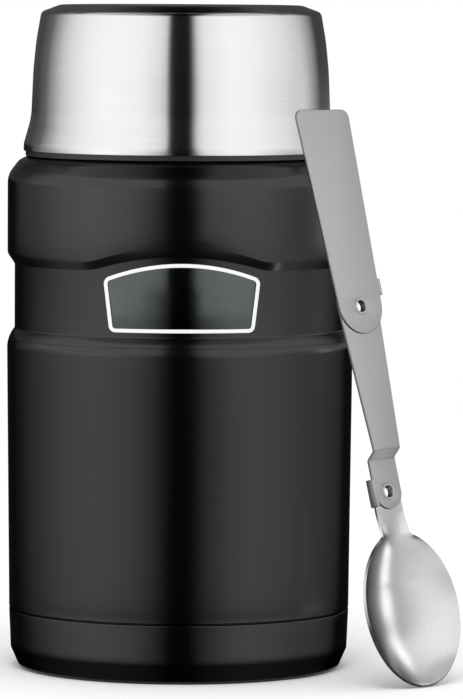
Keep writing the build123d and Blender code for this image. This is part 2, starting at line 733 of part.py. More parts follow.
# ---------------------------------------------------------------- the nodes
parts = {
    "outer_shell": outer_shell(),
    "base_cap": base_cap(),
    "vacuum_floor": vacuum_floor(),
    "vacuum_plug": disc(PLUG_RADIUS, SKIRT_BOTTOM - PLUG_HEIGHT, SKIRT_BOTTOM),
    "getter": getter(),
    "base_pad": tube(FOOT_RADIUS - PAD_SET_IN, PAD_HOLE, FOOT_FLOOR, SKIRT_BOTTOM),
    "inner_vessel": inner_vessel(),
    "radiation_foil": radiation_foil(),
    "neck_collar": neck_collar(),
    "badge_border": badge_layer(badge_face(0) - badge_face(BADGE_BORDER), BADGE_BORDER_THICKNESS),
    "badge_plate": badge_layer(badge_face(BADGE_BORDER + WELD_GAP), BADGE_PLATE_THICKNESS),
    "stopper_body": stopper_body(),
    "stopper_cover": stopper_cover(),
    "stopper_foam": stopper_foam(),
    "stopper_seal": stopper_seal(),
    "lid_shell": lid_form(0) - lid_form(STEEL_WALL),
    "lid_liner": lid_liner(),
    "lid_foam": disc(LID_FLAT_RADIUS - LID_FOAM_SET_IN, LINER_TOP, LID_TOP - STEEL_WALL),
}
folding_spoon = {
    "spoon_handle": spoon_handle(),
    "spoon_link": spoon_link(),
    "spoon_bowl": spoon_bowl(),
    "handle_rivet": eyelet(-SHEET, SHEET),
    "bowl_rivet": LOWER_RIVET * eyelet(TANG_BACK, -JOG_DEPTH),
}
spoon_plane = standing_plane(folding_spoon["spoon_bowl"])
for name, solid in folding_spoon.items():
    parts[name] = spoon_plane * solid

os.makedirs("parts", exist_ok=True)
for name, solid in parts.items():
    export_step(solid, f"parts/{name}.step")

print("spoon normal", spoon_plane.z_dir)
print("upper rivet", spoon_plane.origin)
print("lower rivet", spoon_plane.from_local_coords((0, -RIVET_SPAN, 0)))
food_space = revolve(on_profile(food_outline()), Axis.Z) & disc(VESSEL_RADIUS, 0, STOPPER_BOTTOM)
print("food space below the stopper, ml", food_space.volume / 1000)
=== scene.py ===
"""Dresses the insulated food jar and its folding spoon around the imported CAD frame.

Every length in a dataclass field is in millimetres unless its name says otherwise. The jar's axis
is the world's Z axis and the badge faces -Y. The spoon's pieces are drawn flat in the spoon's own
frame, x across, y up the rivet line and z out of the handle's front, and are then laid beside the
jar.
"""

import json
import logging
import math
from dataclasses import dataclass
from enum import Enum
from typing import Iterable, Sequence

import bmesh
import bpy
from bmesh.types import BMEdge, BMesh, BMFace, BMVert
from bpy.types import Material, Node, NodeOutputs, NodeSocket, NodeTree, Object
from mathutils import Matrix, Vector

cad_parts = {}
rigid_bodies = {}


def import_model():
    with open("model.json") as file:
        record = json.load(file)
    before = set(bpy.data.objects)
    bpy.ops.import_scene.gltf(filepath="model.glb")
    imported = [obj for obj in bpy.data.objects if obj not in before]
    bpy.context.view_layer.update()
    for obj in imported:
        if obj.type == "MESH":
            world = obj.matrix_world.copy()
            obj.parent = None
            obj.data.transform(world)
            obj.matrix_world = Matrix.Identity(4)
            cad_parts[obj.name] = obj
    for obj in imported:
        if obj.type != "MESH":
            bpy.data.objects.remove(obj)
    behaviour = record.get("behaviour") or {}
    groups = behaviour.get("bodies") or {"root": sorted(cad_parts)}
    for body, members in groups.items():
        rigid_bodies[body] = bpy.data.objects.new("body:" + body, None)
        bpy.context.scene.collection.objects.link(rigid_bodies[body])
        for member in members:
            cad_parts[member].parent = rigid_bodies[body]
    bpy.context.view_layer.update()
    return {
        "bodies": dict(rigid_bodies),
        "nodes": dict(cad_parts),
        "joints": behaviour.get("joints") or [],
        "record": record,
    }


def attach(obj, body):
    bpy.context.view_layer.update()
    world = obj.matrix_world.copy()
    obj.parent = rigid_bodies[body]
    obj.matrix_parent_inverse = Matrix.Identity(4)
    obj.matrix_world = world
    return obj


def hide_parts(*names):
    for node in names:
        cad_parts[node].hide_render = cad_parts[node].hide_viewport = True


MM = 0.001
TOLERANCE = 0.004 * MM
TURN_STEPS = 256
CREASE_DEGREES = 32.0
SHARP_DEGREES = 60.0
UP = Vector((0, 0, 1))
SMOOTH_FADE = {"interpolation_type": "SMOOTHSTEP"}
LOG = logging.getLogger("food_jar")

Settings = dict[str, object]
Pairs = tuple[tuple[float, float], ...]
Triple = tuple[float, float, float]
Outline = tuple[tuple[float, ...], ...]


class Body(Enum):
    """The CAD bodies that the new pieces ride on."""

    JAR = "jar"
    LID = "lid"
    SPOON_UPPER = "spoon_upper"
    SPOON_MIDDLE = "spoon_middle"
    SPOON_LOWER = "spoon_lower"


class Grain(Enum):
    """How the fine marks of a metal surface run."""

    AROUND_AXIS = "around_axis"
    TUMBLED = "tumbled"


# ------------------------------------------------------------------ node helpers
def linear(colour: str) -> tuple[float, float, float, float]:
    """Turns an sRGB hex colour into linear RGBA.

    Args:
        colour: Colour written as "#RRGGBB".

    Returns:
        Linear red, green, blue and an alpha of 1.
    """
    channels = [int(colour[start : start + 2], 16) / 255 for start in (1, 3, 5)]
    straight = [c / 12.92 if c <= 0.04045 else ((c + 0.055) / 1.055) ** 2.4 for c in channels]
    return straight[0], straight[1], straight[2], 1.0


def add_node(
    tree: NodeTree,
    kind: str,
    settings: Settings | None = None,
    stops: Iterable[tuple[float, float]] = (),
    **inputs: object,
) -> Node:
    """Adds one node with its settings and links.

    Args:
        tree: Node tree that gets the node.
        kind: Blender's name of the node type, without the ShaderNode in front of it.
        settings: Properties of the node, by name.
        stops: Place and grey level of each stop of a colour ramp, in rising order.
        **inputs: Values or sockets for its inputs. A name's underscores stand for spaces, and a
            name such as input_1 is the input's number.

    Returns:
        The new node.
    """
    node = tree.nodes.new(f"ShaderNode{kind}")
    for name, value in (settings or {}).items():
        setattr(node, name, value)
    for index, (place, level) in enumerate(stops):
        elements = node.color_ramp.elements
        stop = elements[index] if index < 2 else elements.new(place)
        stop.position = place
        stop.color = (level, level, level, 1.0)
    for name, value in inputs.items():
        key = int(name[6:]) if name.startswith("input_") else name.replace("_", " ")
        if isinstance(value, NodeSocket):
            tree.links.new(value, node.inputs[key])
        else:
            node.inputs[key].default_value = value
    return node


def bare_material(name: str) -> tuple[Material, NodeTree]:
    """Makes a material with an empty node tree.

    Args:
        name: Name of the material.

    Returns:
        The material and its node tree.
    """
    material = bpy.data.materials.new(name)
    material.use_nodes = True
    material.node_tree.nodes.clear()
    return material, material.node_tree


# ------------------------------------------------------------------ finishes
@dataclass(frozen=True)
class Pattern:
    """A pattern on a surface, drawn at its real size.

    Attributes:
        size: Size of its largest grains or cells in millimetres.
        detail: Number of finer layers of grains.
        cells: Whether it is made of cells and not of grains.
    """

    size: float
    detail: float = 3.0
    cells: bool = False

    def draw(self, tree: NodeTree, place: NodeSocket) -> NodeSocket:
        """Draws the pattern in a material.

        Args:
            tree: The material's node tree.
            place: Coordinates that the pattern follows.

        Returns:
            The pattern's level.
        """
        scale = 1 / (self.size * MM)
        if self.cells:
            return add_node(tree, "TexVoronoi", Vector=place, Scale=scale).outputs["Distance"]
        grains = add_node(tree, "TexNoise", Vector=place, Scale=scale, Detail=self.detail)
        return grains.outputs["Fac"]


@dataclass(frozen=True)
class Finish:
    """A surface finish that becomes one material.

    Attributes:
        name: Name of the material.
        colour: Base colour in sRGB hex.
        roughness: Middle roughness.
        metallic: 1 for bare metal and foil, 0 for paint, plastic, foam and rubber.
        mottle: How far the colour varies, as a share.
        patches: Pattern of the colour.
        relief: Pattern of the fine relief.
        depth: Depth of the relief in millimetres.
        strength: How strongly the relief shows, from 0 to 1.
        spread: How far the roughness varies either way.
        gloss: Pattern of the roughness, or None where it follows the relief.
        sheen: Weight of the sheen.
    """

    name: str
    colour: str
    roughness: float
    metallic: float = 0.0
    mottle: float = 0.08
    patches: Pattern = Pattern(10.0)
    relief: Pattern = Pattern(1.0)
    depth: float = 0.01
    strength: float = 0.2
    spread: float = 0.0
    gloss: Pattern | None = None
    sheen: float = 0.0

    def material(self) -> Material:
        """Makes the material.

        Returns:
            The new material, with its nodes in place.
        """
        material, tree = bare_material(self.name)
        colour = linear(self.colour)
        material.diffuse_color = colour
        shader = add_node(
            tree,
            "BsdfPrincipled",
            Base_Color=colour,
            Metallic=self.metallic,
            Roughness=self.roughness,
            Sheen_Weight=self.sheen,
        )
        add_node(tree, "OutputMaterial", Surface=shader.outputs["BSDF"])
        place = self.coordinates(tree, shader)
        dark, light = (
            (*(min(1.0, channel * (1 + way * self.mottle)) for channel in colour[:3]), 1.0)
            for way in (-1, 1)
        )
        patches = self.patches.draw(tree, place)
        mix = add_node(
            tree, "Mix", {"data_type": "RGBA"}, input_0=patches, input_6=dark, input_7=light
        )
        tree.links.new(mix.outputs[2], shader.inputs["Base Color"])
        relief = self.relief.draw(tree, place)
        bump = add_node(
            tree, "Bump", Height=relief, Distance=self.depth * MM, Strength=self.strength
        )
        tree.links.new(bump.outputs["Normal"], shader.inputs["Normal"])
        if self.spread:
            rough = add_node(
                tree,
                "MapRange",
                Value=self.gloss.draw(tree, place) if self.gloss else relief,
                To_Min=self.roughness - self.spread,
                To_Max=self.roughness + self.spread,
            )
            tree.links.new(rough.outputs["Result"], shader.inputs["Roughness"])
        return material

    def coordinates(self, tree: NodeTree, shader: Node) -> NodeSocket:
        """Gives the coordinates that the finish's patterns follow.

        Args:
            tree: The material's node tree.
            shader: The Principled shader.

        Returns:
            Object coordinates.
        """
        return add_node(tree, "TexCoord").outputs["Object"]


@dataclass(frozen=True)
class Enamel(Finish):
    """Baked enamel sprayed on steel: smooth and glossy, with a faint orange peel.

    The peel is 1.6 mm from crest to crest and softens the edges of reflections.
    """

    patches: Pattern = Pattern(20.0)
    relief: Pattern = Pattern(1.6, 1.0)
    depth: float = 0.01
    strength: float = 0.12
    spread: float = 0.02
    gloss: Pattern | None = Pattern(14.0, 4.0)


@dataclass(frozen=True)
class Steel(Finish):
    """Stainless steel with fine marks, either brushed round the axis or tumbled.

    The marks are drawn about three times as coarse as real ones, so that they show.

    Attributes:
        grain: How the fine marks run.
        stretch: How much longer than wide the marks are.
        anisotropy: How strongly steel brushed round the axis draws reflections out.
        turn: Rotation that lays the marks along the piece, in radians.
    """

    metallic: float = 1.0
    mottle: float = 0.03
    patches: Pattern = Pattern(1.05)
    relief: Pattern = Pattern(0.35, 4.0)
    depth: float = 0.006
    strength: float = 0.35
    spread: float = 0.05
    grain: Grain = Grain.TUMBLED
    stretch: float = 8.0
    anisotropy: float = 0.9
    turn: Triple = (0.0, 0.0, 0.0)

    def coordinates(self, tree: NodeTree, shader: Node) -> NodeSocket:
        """Stretches the coordinates along the marks.

        Args:
            tree: The material's node tree.
            shader: The Principled shader, which gets the anisotropy of brushed steel.

        Returns:
            The stretched coordinates.
        """
        place = super().coordinates(tree, shader)
        along = 1 / self.stretch
        scale = (1.0, along, 1.0)
        if self.grain is Grain.AROUND_AXIS:
            scale = (along, along, 1.0)
            shader.inputs["Anisotropic"].default_value = self.anisotropy
            # A quarter turn draws reflections up and down, across the marks.
            shader.inputs["Anisotropic Rotation"].default_value = 0.25
            radial = add_node(tree, "Tangent", {"direction_type": "RADIAL", "axis": "Z"})
            tree.links.new(radial.outputs["Tangent"], shader.inputs["Tangent"])
        lines = add_node(tree, "Mapping", Vector=place, Scale=scale, Rotation=self.turn)
        return lines.outputs["Vector"]


@dataclass(frozen=True)
class Moulded(Finish):
    """Injection-moulded polypropylene: a fine satin texture and faint flow marks.

    The mould's texture breaks reflections up into a soft glow.
    """

    patches: Pattern = Pattern(6.0)
    relief: Pattern = Pattern(0.4, 2.0)
    depth: float = 0.02
    strength: float = 0.3
    spread: float = 0.05
    gloss: Pattern | None = Pattern(5.0)


@dataclass(frozen=True)
class Foam(Finish):
    """Rigid polyurethane foam with closed cells of 1.2 mm: matt, with a pitted face."""

    patches: Pattern = Pattern(4.0)
    relief: Pattern = Pattern(1.2, cells=True)
    depth: float = 0.3
    strength: float = 0.6


@dataclass(frozen=True)
class Foil(Finish):
    """Thin copper foil wrapped by hand: bright, with shallow creases 9 mm apart."""

    metallic: float = 1.0
    patches: Pattern = Pattern(15.0)
    relief: Pattern = Pattern(9.0, cells=True)
    depth: float = 0.5
    strength: float = 0.4
    spread: float = 0.06
    gloss: Pattern | None = Pattern(20.0)


@dataclass(frozen=True)
class Rubbery(Finish):
    """Soft moulded rubber or silicone: matt, with a slight bloom that lightens its edges."""

    patches: Pattern = Pattern(8.0)
    relief: Pattern = Pattern(0.6)
    depth: float = 0.03
    strength: float = 0.4
    sheen: float = 0.2


# ------------------------------------------------------------------ mesh helpers
@dataclass(frozen=True)
class Corner:
    """A corner of a turned outline.

    Attributes:
        radius: Distance from the jar's axis.
        height: Height above the floor.
        rounding: Radius that the corner is rounded to, or 0 where it stays sharp.
    """

    radius: float
    height: float
    rounding: float = 0.0


def turn_angle(before: Corner, corner: Corner, after: Corner) -> float:
    """Angle by which an outline turns at a corner.

    Args:
        before: The corner before it.
        corner: The corner itself.
        after: The corner after it.

    Returns:
        The angle in radians, from 0 to pi.
    """
    arriving = Vector((corner.radius - before.radius, corner.height - before.height))
    leaving = Vector((after.radius - corner.radius, after.height - corner.height))
    return arriving.angle(leaving)


def round_off(
    mesh: BMesh,
    parts: Iterable[BMEdge | BMVert],
    offset: float,
    segments: int,
    affect: str = "EDGES",
) -> None:
    """Rounds edges of a mesh, or the corners of its flat faces.

    Args:
        mesh: Mesh to change.
        parts: Edges or corner points to round.
        offset: Distance from each part to where its rounding starts, in millimetres.
        segments: Number of steps across the rounding.
        affect: Whether the parts are "EDGES" or "VERTICES".
    """
    bmesh.ops.bevel(
        mesh,
        geom=list(parts),
        offset=offset * MM,
        offset_type="OFFSET",
        segments=segments,
        profile=0.5,
        affect=affect,
        material=-1,
        clamp_overlap=True,
    )


def spin_line(mesh: BMesh, line: Sequence[tuple[float, float]], closed: bool, steps: int) -> None:
    """Spins a line once round the Z axis.

    Args:
        mesh: Mesh that gets the turned surface.
        line: Radius and height of each point, in millimetres.
        closed: Whether the last point is joined to the first.
        steps: Number of steps round the axis.
    """
    points = [mesh.verts.new((radius * MM, 0.0, height * MM)) for radius, height in line]
    followers = [*points[1:], points[0]] if closed else points[1:]
    edges = [mesh.edges.new(pair) for pair in zip(points, followers)]
    bmesh.ops.spin(
        mesh,
        geom=[*points, *edges],
        cent=(0, 0, 0),
        axis=(0, 0, 1),
        dvec=(0, 0, 0),
        angle=2 * math.pi,
        steps=steps,
        use_merge=True,
        use_normal_flip=False,
        use_duplicate=False,
    )


def turned(outline: Outline, segments: int = 5, steps: int = TURN_STEPS) -> BMesh:
    """Turns a closed outline about the Z axis and rounds its corners.

    Args:
        outline: Radius, height and any rounding of each corner, in order.
        segments: Number of steps across each rounding.
        steps: Number of steps round the axis.

    Returns:
        The closed turned mesh.
    """
    mesh = bmesh.new()
    corners = [Corner(*place) for place in outline]
    on_axis = corners[0].radius == 0 and corners[-1].radius == 0
    spin_line(mesh, [(c.radius, c.height) for c in corners], not on_axis, steps)
    bmesh.ops.remove_doubles(mesh, verts=mesh.verts, dist=TOLERANCE)
    bmesh.ops.recalc_face_normals(mesh, faces=mesh.faces)
    for index, corner in enumerate(corners):
        if corner.rounding:
            before = corners[index - 1]
            after = corners[(index + 1) % len(corners)]
            offset = corner.rounding * math.tan(turn_angle(before, corner, after) / 2)
            round_off(mesh, ring_at(mesh, corner), offset, segments)
    return mesh


def ring_at(mesh: BMesh, corner: Corner) -> list[BMEdge]:
    """Finds the ring of edges that a corner left in a turned mesh.

    Args:
        mesh: The turned mesh.
        corner: The corner of its outline.

    Returns:
        The ring's edges.
    """

    def on_ring(point: BMVert) -> bool:
        """Whether a point lies on the corner's ring."""
        radius_off = abs(point.co.xy.length - corner.radius * MM)
        return radius_off < TOLERANCE and abs(point.co.z - corner.height * MM) < TOLERANCE

    return [edge for edge in mesh.edges if all(on_ring(point) for point in edge.verts)]


def slice_rows(mesh: BMesh, axis: Vector, places: Iterable[float]) -> None:
    """Cuts every face of a mesh along planes, so that it can be bent there.

    Args:
        mesh: Mesh to cut.
        axis: Direction that the planes face.
        places: Distances of the planes from the origin, in millimetres.
    """
    for place in places:
        bmesh.ops.bisect_plane(
            mesh,
            geom=[*mesh.verts, *mesh.edges, *mesh.faces],
            dist=TOLERANCE,
            plane_co=axis * place * MM,
            plane_no=axis,
        )


def evenly(low: float, high: float, count: int) -> list[float]:
    """Spaces places evenly between two ends, without the ends."""
    return [low + (high - low) * step / (count + 1) for step in range(1, count + 1)]


def smooth_step(low: float, high: float, value: float) -> float:
    """Rises smoothly from 0 at low to 1 at high."""
    share = min(1.0, max(0.0, (value - low) / (high - low)))
    return share * share * (3 - 2 * share)


def extrude_by(mesh: BMesh, step: Triple) -> None:
    """Gives a flat mesh its thickness and turns its faces outwards.

    Args:
        mesh: Mesh whose faces are all extruded.
        step: Direction and length of the step, in millimetres.
    """
    lifted = bmesh.ops.extrude_face_region(mesh, geom=mesh.faces[:])["geom"]
    moved = [item for item in lifted if isinstance(item, BMVert)]
    bmesh.ops.translate(mesh, verts=moved, vec=[part * MM for part in step])
    bmesh.ops.recalc_face_normals(mesh, faces=mesh.faces)


def sharp_edges(mesh: BMesh) -> list[BMEdge]:
    """Finds the edges between faces that meet at a steep angle."""
    return [e for e in mesh.edges if e.calc_face_angle(0.0) > math.radians(SHARP_DEGREES)]


def finish_piece(name: str, mesh: BMesh, finish: Material) -> Object:
    """Makes an object of a mesh, smooth except at its creases.

    Args:
        name: Name of the object.
        mesh: Mesh of the piece, which is freed.
        finish: Material of the piece.

    Returns:
        The new object.
    """
    bmesh.ops.remove_doubles(mesh, verts=mesh.verts, dist=TOLERANCE / 4)
    bmesh.ops.dissolve_degenerate(mesh, edges=mesh.edges, dist=TOLERANCE / 8)
    for face in mesh.faces:
        face.smooth = True
    for edge in mesh.edges:
        edge.smooth = len(edge.link_faces) != 2 or (
            edge.calc_face_angle(0.0) < math.radians(CREASE_DEGREES)
        )
    data = bpy.data.meshes.new(name)
    mesh.to_mesh(data)
    mesh.free()
    data.materials.append(finish)
    piece = bpy.data.objects.new(name, data)
    bpy.context.scene.collection.objects.link(piece)
    LOG.info("%s: %d faces", name, len(data.polygons))
    return piece


def add_piece(
    name: str, mesh: BMesh, finish: Material, body: Body, slot: str, *nodes: str
) -> Object:
    """Makes a piece, hangs it on its body and lets it stand for its CAD nodes.

    Args:
        name: Name of the piece.
        mesh: Mesh of the piece, which is freed.
        finish: Material of the piece.
        body: Body that it rides on.
        slot: The record's material slot for the piece; not used.
        *nodes: CAD nodes that it stands for.

    Returns:
        The piece.
    """
    piece = finish_piece(name, mesh, finish)
    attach(piece, body.value)
    if nodes:
        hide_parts(*nodes)
    return piece


# ------------------------------------------------------------------ the jar
@dataclass(frozen=True)
class JarShell:
    """Painted outer wall of the flask, with the arch over the badge."""

    arch_half_chord: float = 24.6
    arch_radius: float = 59.7
    arch_soft: float = 0.8
    arch_foot: float = 0.8
    arch_foot_from: float = 118.4
    arch_foot_to: float = 122.0
    arch_low: float = 118.0
    arch_full: float = 124.6
    arch_fade: float = 122.6
    arch_end: float = 139.0
    arch_rows: int = 6
    outside: Outline = (
        (48.5, 6.5), (48.5, 17.6, 0.2), (49.9, 17.6, 0.35), (50.7, 97.0, 8.0),
        (48.5, 99.5, 0.6), (48.5, 118.3, 0.5), (50.6, 121.4, 2.6), (50.6, 144.2, 6.0),
        (47.3, 148.6, 4.0), (45.0, 149.7, 0.4), (38.6, 149.7), (38.6, 167.5),
    )
    inside: Outline = (
        (38.1, 167.5), (38.1, 149.2), (44.8, 149.2), (47.0, 148.0),
        (50.1, 143.6), (50.1, 121.8), (48.0, 118.6), (48.0, 99.2),
        (50.2, 96.6), (49.4, 17.8), (48.0, 17.8), (48.0, 6.5),
    )

    def arch_lift(self, x: float) -> float:
        """Height that the arch adds to the bulge's lower edge.

        Args:
            x: Distance from the middle of the arch.

        Returns:
            The lift, which runs out softly to 0 at the ends of the arch.
        """
        flat = math.sqrt(self.arch_radius**2 - self.arch_half_chord**2)
        rise = math.sqrt(self.arch_radius**2 - x * x) - flat
        return (rise + math.sqrt(rise**2 + self.arch_soft**2)) / 2

    def build(self, enamel: Material) -> None:
        """Builds the shell and lifts the bulge's lower edge into the arch.

        Args:
            enamel: Finish of the shell.
        """
        mesh = turned((*self.outside, *self.inside), segments=8)
        slice_rows(mesh, UP, evenly(self.arch_full, self.arch_end, self.arch_rows))
        for point in mesh.verts:
            height = point.co.z / MM
            if point.co.y < 0 and self.arch_low < height < self.arch_end:
                foot = smooth_step(self.arch_foot_from, self.arch_foot_to, height)
                share = 1 - smooth_step(self.arch_fade, self.arch_end, height)
                share *= self.arch_foot + (1 - self.arch_foot) * foot
                point.co.z += self.arch_lift(point.co.x / MM) * share * MM
        add_piece("jar_shell", mesh, enamel, Body.JAR, "painted_shell", "outer_shell")


@dataclass(frozen=True)
class JarBase:
    """Painted cup under the seam, with its foot ring."""

    outline: Outline = (
        (0.0, 1.0), (45.6, 1.0, 0.4), (45.6, 0.0, 0.3), (46.9, 0.0, 0.4),
        (49.4, 5.7, 0.5), (49.9, 17.25, 0.45), (48.6, 17.3), (48.6, 5.7),
        (46.1, 1.8), (0.0, 1.8),
    )

    def build(self, enamel: Material) -> None:
        """Builds the cup.

        Args:
            enamel: Finish of the cup.
        """
        mesh = turned(self.outline)
        add_piece("jar_base", mesh, enamel, Body.JAR, "painted_base", "base_cap")


@dataclass(frozen=True)
class Badge:
    """Bare badge on the waist: a dark curved plate in a raised light border."""

    turn_degrees: float = 1.2
    wrap_radius: float = 48.5
    top_half: float = 22.5
    bottom_half: float = 20.7
    bottom: float = 101.0
    side_top: float = 116.2
    top: float = 120.8
    arch_steps: int = 24
    corner: float = 1.6
    border: float = 1.05
    border_depth: float = 0.55
    border_edge: float = 0.22
    plate_depth: float = 0.3
    plate_edge: float = 0.08
    foot_row: float = 0.8
    columns: int = 43

    def outline(self, mesh: BMesh) -> BMFace:
        """Draws the badge's face in the XZ plane, with an arched top and round corners.

        Args:
            mesh: Mesh that gets the face.

        Returns:
            The face.
        """
        rise = self.top - self.side_top
        radius = (self.top_half**2 + rise**2) / (2 * rise)
        steps = range(self.arch_steps + 1)
        places = [self.top_half * (1 - 2 * step / self.arch_steps) for step in steps]
        arch = [(x, self.top - radius + math.sqrt(radius**2 - x * x)) for x in places]
        flat = [(-self.bottom_half, self.bottom), (self.bottom_half, self.bottom), *arch]
        points = [mesh.verts.new((x * MM, 0.0, z * MM)) for x, z in flat]
        mesh.faces.new(points)
        round_off(mesh, [*points[:3], points[-1]], self.corner, 5, affect="VERTICES")
        return mesh.faces[:][0]

    def wrap(self, mesh: BMesh) -> None:
        """Bends a flat badge layer round the waist.

        Args:
            mesh: The layer, in the XZ plane with its depth along -Y.
        """
        for point in mesh.verts:
            radius = self.wrap_radius * MM - point.co.y
            point.co.y = -math.sqrt(radius**2 - point.co.x**2)
        turn = Matrix.Rotation(math.radians(self.turn_degrees), 3, "Z")
        bmesh.ops.rotate(mesh, verts=mesh.verts, cent=(0, 0, 0), matrix=turn)

    def layer(self, border: bool) -> BMesh:
        """Makes the border ring or the plate inside it.

        Args:
            border: Whether the layer is the border.

        Returns:
            The wrapped layer.
        """
        mesh = bmesh.new()
        face = self.outline(mesh)
        ring = bmesh.ops.inset_region(
            mesh, faces=[face], thickness=self.border * MM, use_even_offset=True, use_boundary=True
        )["faces"]
        bmesh.ops.delete(mesh, geom=[face] if border else ring, context="FACES")
        slice_rows(mesh, Vector((1, 0, 0)), evenly(-self.top_half, self.top_half, self.columns))
        depth, edge = self.border_depth, self.border_edge
        if not border:
            depth, edge = self.plate_depth, self.plate_edge
            slice_rows(mesh, UP, [self.bottom + self.border + self.foot_row])
        extrude_by(mesh, (0.0, -depth, 0.0))
        front = [
            rim
            for rim in sharp_edges(mesh)
            if all(abs(point.co.y + depth * MM) < TOLERANCE for point in rim.verts)
        ]
        round_off(mesh, front, edge, segments=3)
        self.wrap(mesh)
        return mesh

    def build(self, light: Material, dark: Material) -> None:
        """Builds the border and the plate.

        Args:
            light: Finish of the border.
            dark: Finish of the plate.
        """
        border, plate = self.layer(True), self.layer(False)
        add_piece("badge_frame", border, light, Body.JAR, "badge_light", "badge_border")
        add_piece("badge_field", plate, dark, Body.JAR, "badge_dark", "badge_plate")


@dataclass(frozen=True)
class LidShell:
    """Spun steel wall of the screw-on lid."""

    outline: Outline = (
        (0.0, 194.0), (35.3, 194.0, 4.0), (40.9, 191.9, 1.7), (42.35, 183.6, 60.0),
        (43.2, 175.0, 60.0), (43.8, 161.0, 18.0), (45.9, 153.6, 4.0), (46.0, 151.35, 0.25),
        (45.5, 151.35, 0.2), (45.4, 153.6), (43.3, 161.0), (42.7, 175.0),
        (41.85, 183.6), (40.4, 191.6), (35.0, 193.5), (0.0, 193.5),
    )

    def build(self, steel: Material) -> None:
        """Builds the lid's steel wall.

        Args:
            steel: Finish of the lid.
        """
        mesh = turned(self.outline, segments=6)
        add_piece("lid_wall", mesh, steel, Body.LID, "lid_steel", "lid_shell")


# ------------------------------------------------------------------ the spoon
@dataclass(frozen=True)
class SpoonFrame:
    """Where the spoon's own frame stands in the world.

    Attributes:
        matrix: Takes a point of the spoon's frame to the world, in metres.
        span: Distance between the two rivets in millimetres.
    """

    matrix: Matrix
    span: float

    @classmethod
    def from_joints(cls, joints: Sequence[dict]) -> "SpoonFrame":
        """Finds the frame from the two rivets' hinges.

        Args:
            joints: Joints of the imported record.

        Returns:
            The spoon's frame.
        """
        hinges = {joint["name"]: joint for joint in joints}
        upper = Vector(hinges["handle_fold"]["pos_m"])
        lower = Vector(hinges["bowl_fold"]["pos_m"])
        out = Vector(hinges["handle_fold"]["axis"]).normalized()
        up = (upper - lower).normalized()
        across = up.cross(out).normalized()
        matrix = Matrix((across, up, out)).transposed().to_4x4()
        matrix.translation = upper
        return cls(matrix, (upper - lower).length / MM)

    def grain_turn(self) -> Triple:
        """Rotation that turns world coordinates into the spoon's own directions."""
        return tuple(self.matrix.to_3x3().transposed().to_euler())

    def lay(self, mesh: BMesh) -> BMesh:
        """Moves a mesh from the spoon's frame to the world."""
        bmesh.ops.transform(mesh, matrix=self.matrix, verts=mesh.verts)
        return mesh


@dataclass(frozen=True)
class SpoonSizes:
    """Sizes that the spoon's pieces share."""

    sheet: float = 1.0
    edge: float = 0.24
    tab_edge: float = 0.192
    tab_heel: float = 0.8
    hole: float = 2.1
    hole_steps: int = 32

    def tab(self, section: Pairs, start: float, length: float) -> BMesh:
        """Makes a tab that is turned up from its sheet.

        Args:
            section: Across and height of each corner of its section, with the heel second.
            start: Place of its lower end along the rivet line.
            length: Its length along the rivet line.

        Returns:
            The tab in the spoon's frame.
        """
        mesh = bmesh.new()
        mesh.faces.new([mesh.verts.new((x * MM, start * MM, z * MM)) for x, z in section])
        extrude_by(mesh, (0.0, length, 0.0))
        across, height = section[1]
        heel = [
            edge
            for edge in mesh.edges
            if all(abs(point.co.x - across * MM) < TOLERANCE for point in edge.verts)
            and all(abs(point.co.z - height * MM) < TOLERANCE for point in edge.verts)
        ]
        round_off(mesh, heel, self.tab_heel, segments=4)
        round_off(mesh, sharp_edges(mesh), self.tab_edge, segments=2)
        return mesh


